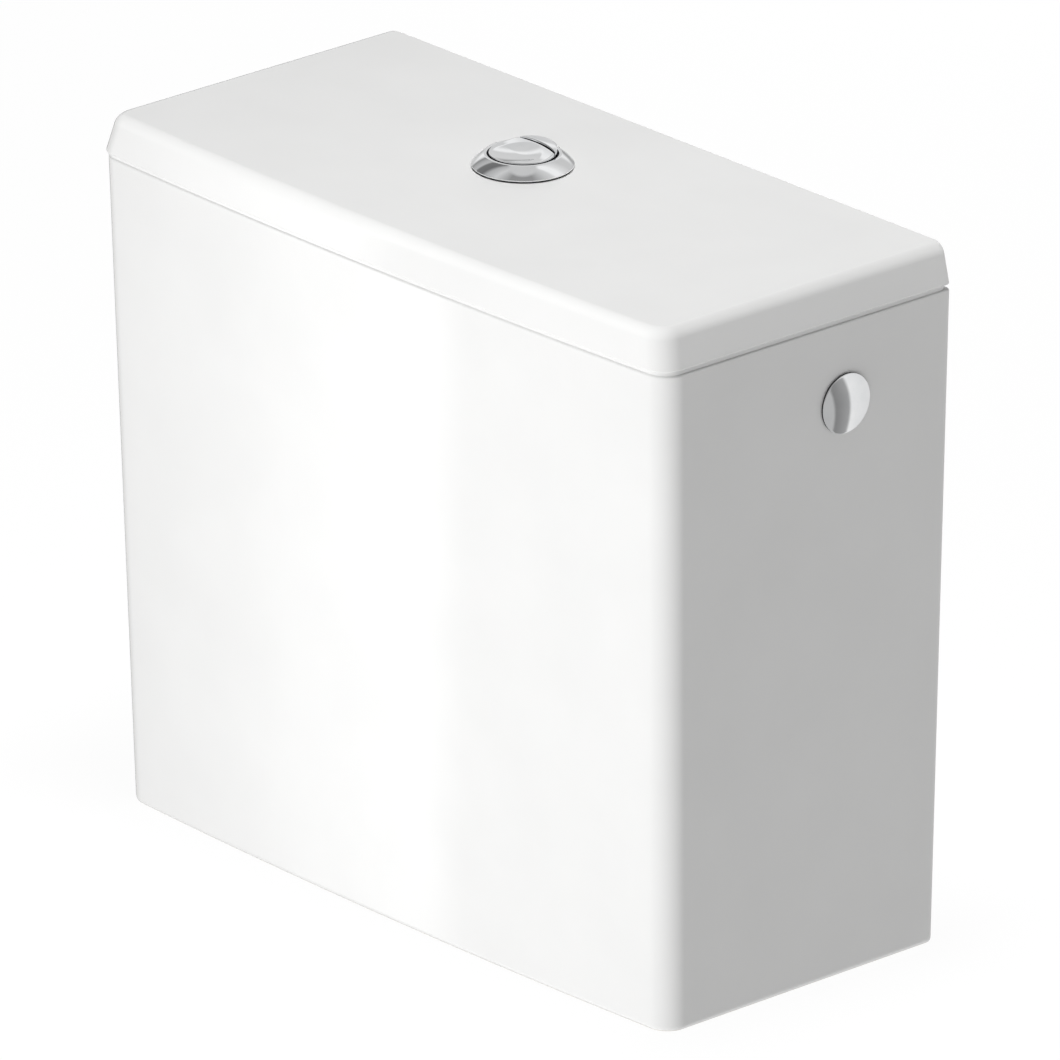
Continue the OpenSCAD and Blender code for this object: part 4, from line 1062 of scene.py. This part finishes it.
def make_cap():
    right = on_wall(1)
    cap_r, gasket, edge, rise = mm(14.45, 0.95, 0.45, 0.8)
    stem_r, stem_l = mm(8.3, 22)
    root = stem_r - 0.6 * MM
    dome_r = (cap_r ** 2 + rise ** 2) / (2 * rise)
    top = gasket + edge + rise
    dome = [(cap_r * k / 24, top - dome_r + sqrt(dome_r ** 2 - (cap_r * k / 24) ** 2)) for k in range(24)]
    side = rounded([dome[-1], (cap_r, gasket + edge), (cap_r, gasket), (stem_r, gasket), (root, 0)],
                   mm(0, 0.3, 0.1, 0, 0), 5, closed=False)
    stem = thread(root, stem_r, SHANK_PITCH, -0.2 * MM, 0.6 * MM - stem_l)
    profile = dome + side[1:] + stem + [(root - 0.6 * MM, -stem_l), (0, -stem_l)]
    new_piece("blanking_cap", "domed", lathe(profile, 128, False, right), 40)
    bore = stem_r + 0.1 * MM
    ring_piece("cap_gasket", cap_r - 0.1 * MM, bore, 0, gasket, 0.2 * MM, place=right)
    inner = -WALL_T
    washer_t, nut_h = mm(2, 8)
    seat = inner - washer_t
    ring_piece("cap_washer", cap_r, bore, seat, inner, 0.6 * MM, 72, right)
    new_piece("cap_nut", "chamfered", nut(14.95 * MM, 6, seat - nut_h, seat, bore, place=right))


make_tank()
make_lid()
make_pads()
make_ring()
make_full_plate()
make_half_plate()
make_sleeve()
make_rod("full_push_rod", FULL_ROD_Y)
make_rod("half_push_rod", HALF_ROD_Y)
make_spring("full_spring", FULL_ROD_Y)
make_spring("half_spring", HALF_ROD_Y)
make_valve_base()
make_rings()
make_tubes()
make_bridge()
make_levers()
make_fill_valve()
make_float()
make_cap()


# Floor, light and camera

def make_floor():
    half = 30
    bm = bmesh.new()
    corners = [bm.verts.new((x * half, y * half, 0)) for x, y in ((-1, -1), (1, -1), (1, 1), (-1, 1))]
    bm.faces.new(corners)
    floor = raw_piece("floor", bm)
    mat = bpy.data.materials.new("floor_paper")
    mat.use_nodes = True
    shader = mat.node_tree.nodes["Principled BSDF"]
    paper = {"Base Color": (0.08, 0.08, 0.08, 1), "Roughness": 1.0, "Specular IOR Level": 0.0,
             "Emission Color": (1, 1, 1, 1), "Emission Strength": 0.94}
    for key, value in paper.items():
        shader.inputs[key].default_value = value
    floor.data.materials.append(mat)
    floor.visible_glossy = False


def area_light(name, at, aim, width, height, radiance):
    """Rectangular soft light; radiance is its brightness as seen in a reflection."""
    data = bpy.data.lights.new(name, "AREA")
    data.shape = "RECTANGLE"
    data.size, data.size_y = width, height
    data.energy = radiance * pi * width * height
    light = linked(name, data)
    light.location = at
    light.rotation_euler = (Vector(aim) - Vector(at)).to_track_quat("-Z", "Y").to_euler()
    light.visible_camera = False
    light.visible_glossy = False


def ramp(tree, value, stops, low=0.0, high=1.0):
    """Grey ramp over a value that runs from low to high."""
    node = add_node(tree, "ShaderNodeValToRGB")
    for i, (at, grey) in enumerate(stops):
        place = (at - low) / (high - low)
        stop = node.color_ramp.elements[i] if i < 2 else node.color_ramp.elements.new(place)
        stop.position = place
        stop.color = (grey, grey, grey, 1)
    tree.links.new(spread(tree, value, 0, 1, low, high), node.inputs["Fac"])
    return node.outputs["Color"]


# Brightness of the studio as the gloss sees it, by compass angle in degrees from +X to +Y
LOW_STUDIO = ((-180, 0.55), (-60, 0.55), (-5, 0.50), (13.7, 0.54), (13.9, 0.25), (21.9, 0.40), (22.2, 0.92),
              (37, 0.80), (60, 0.72), (100, 0.60), (125, 0.36), (150, 0.36), (160, 0.70), (180, 0.55))
# The low boxes have leaning, curved edges: degrees to add to the compass angle, by height and its square
LOW_LEAN, LOW_BEND = 86.5, 68.5
HIGH_STUDIO = ((-180, 0.48), (-173, 0.56), (-169, 0.20), (-155, 0.18), (-146, 0.50), (-124, 0.70),
               (-84, 0.32), (-6, 0.32), (30, 0.62), (46, 0.72), (54, 1.0), (66, 1.0), (75, 0.82), (90, 0.64),
               (103, 0.64), (110, 0.95), (125, 0.72), (150, 0.70), (162, 1.0), (168, 0.92),
               (173, 0.30), (180, 0.48))
# A tall soft box at the left front: brightness by the distance from its right-hand edge
BOX_EDGE = (-0.712, 0.684, 0.157)
BOX_STUDIO = ((-1.0, 0.25), (-0.001, 0.42), (0.001, 1.0), (0.05, 0.80), (0.085, 0.42), (0.14, 0.10),
              (1.0, 0.10))
BOX_GAIN = 2.2
BOX_SIDE = (-112, -108)
# Heights at which the low boxes give way to the high ones, and the high ones to the roof
LOW_TO_HIGH = (0.06, 0.2)
ROOF, ROOF_GREY = (0.93, 0.96), 0.64
# Strips between two compass angles: heights over which each comes in, and its brightness
STRIP_START, STRIP_END = (104, 112), (164, 169)
STRIPS = ((0.42, 0.48, 1.0), (0.52, 0.60, 0.72))


def make_world():
    """Dim dome for the light, a studio of soft boxes for the gloss, and a pale backdrop for the camera."""
    world = bpy.data.worlds.new("studio")
    bpy.context.scene.world = world
    world.use_nodes = True
    tree = world.node_tree
    ground = tree.nodes["Background"]
    coords = add_node(tree, "ShaderNodeTexCoord")
    split = add_node(tree, "ShaderNodeSeparateXYZ")
    tree.links.new(coords.outputs["Generated"], split.inputs["Vector"])
    height = split.outputs["Z"]
    dome = ramp(tree, height, ((0.0, 0.10), (1.0, 0.40), (0.55, 0.06), (0.8, 0.22)))
    angle = maths(tree, "ARCTAN2", split.outputs["Y"], split.outputs["X"])
    degrees = maths(tree, "DEGREES", angle)
    side = add_node(tree, "ShaderNodeVectorMath", operation="DOT_PRODUCT")
    tree.links.new(coords.outputs["Generated"], side.inputs[0])
    side.inputs[1].default_value = BOX_EDGE
    box = ramp(tree, side.outputs["Value"], BOX_STUDIO, -1, 1)
    bright = add_node(tree, "ShaderNodeVectorMath", operation="SCALE")
    tree.links.new(box, bright.inputs[0])
    bright.inputs["Scale"].default_value = BOX_GAIN
    bend = maths(tree, "MULTIPLY_ADD", height, LOW_BEND, LOW_LEAN)
    lean = maths(tree, "MULTIPLY_ADD", bend, height, degrees)
    low = ramp(tree, lean, LOW_STUDIO, -180, 180)
    low = mixed(tree, spread(tree, degrees, 1, 0, *BOX_SIDE), low, bright.outputs["Vector"])
    high = ramp(tree, degrees, HIGH_STUDIO, -180, 180)
    studio = mixed(tree, spread(tree, height, 0, 1, *LOW_TO_HIGH), low, high)
    for start, end, grey in STRIPS:
        over = mixed(tree, spread(tree, degrees, 0, 1, *STRIP_START), high, (grey,) * 3)
        over = mixed(tree, spread(tree, degrees, 0, 1, *STRIP_END), over, high)
        studio = mixed(tree, spread(tree, height, 0, 1, start, end), studio, over)
    studio = mixed(tree, spread(tree, height, 0, 1, *ROOF), studio, (ROOF_GREY,) * 3)
    path = add_node(tree, "ShaderNodeLightPath")
    seen = mixed(tree, path.outputs["Is Glossy Ray"], dome, studio)
    seen = mixed(tree, path.outputs["Is Camera Ray"], seen, (1, 1, 1))
    tree.links.new(seen, ground.inputs["Color"])
    ground.inputs["Strength"].default_value = 1.0


CAMERA_AT = Vector((5.37165, -4.83544, 3.03744))
CAMERA_AIM = Vector((0.080068, -0.076122, 0.212711))
CAMERA_ROLL = radians(-0.253)
CAMERA_LENS = 571.06
CAMERA_SENSOR = 36


def make_camera():
    data = bpy.data.cameras.new("camera")
    data.lens = CAMERA_LENS
    data.sensor_width = CAMERA_SENSOR
    data.clip_end = 200
    camera = linked("camera", data)
    ahead = (CAMERA_AIM - CAMERA_AT).normalized()
    level = ahead.cross(Vector((0, 0, 1))).normalized()
    fall = ahead.cross(level)
    right = level * cos(CAMERA_ROLL) + fall * sin(CAMERA_ROLL)
    up = -(fall * cos(CAMERA_ROLL) - level * sin(CAMERA_ROLL))
    axes = Matrix((right, up, -ahead)).transposed().to_4x4()
    camera.matrix_world = Matrix.Translation(CAMERA_AT) @ axes
    bpy.context.scene.camera = camera


make_floor()
make_world()
area_light("overhead", (0.12, -0.06, 1.6), (0.08, -0.03, 0.33), 0.36, 0.36, 33.0)
area_light("front", (0.12, -1.6, 0.3), (0.05, 0, 0.17), 0.3, 0.56, 28.6)
area_light("rear", (-1.3, 1.7, 0.5), (-0.02, 0, 0.18), 0.5, 0.8, 8.5)
area_light("side", (2.0, 0.6, 0.5), (0.19, 0, 0.17), 0.8, 0.8, 0.6)
make_camera()
bpy.context.scene.view_settings.view_transform = "Standard"

bpy.context.view_layer.update()
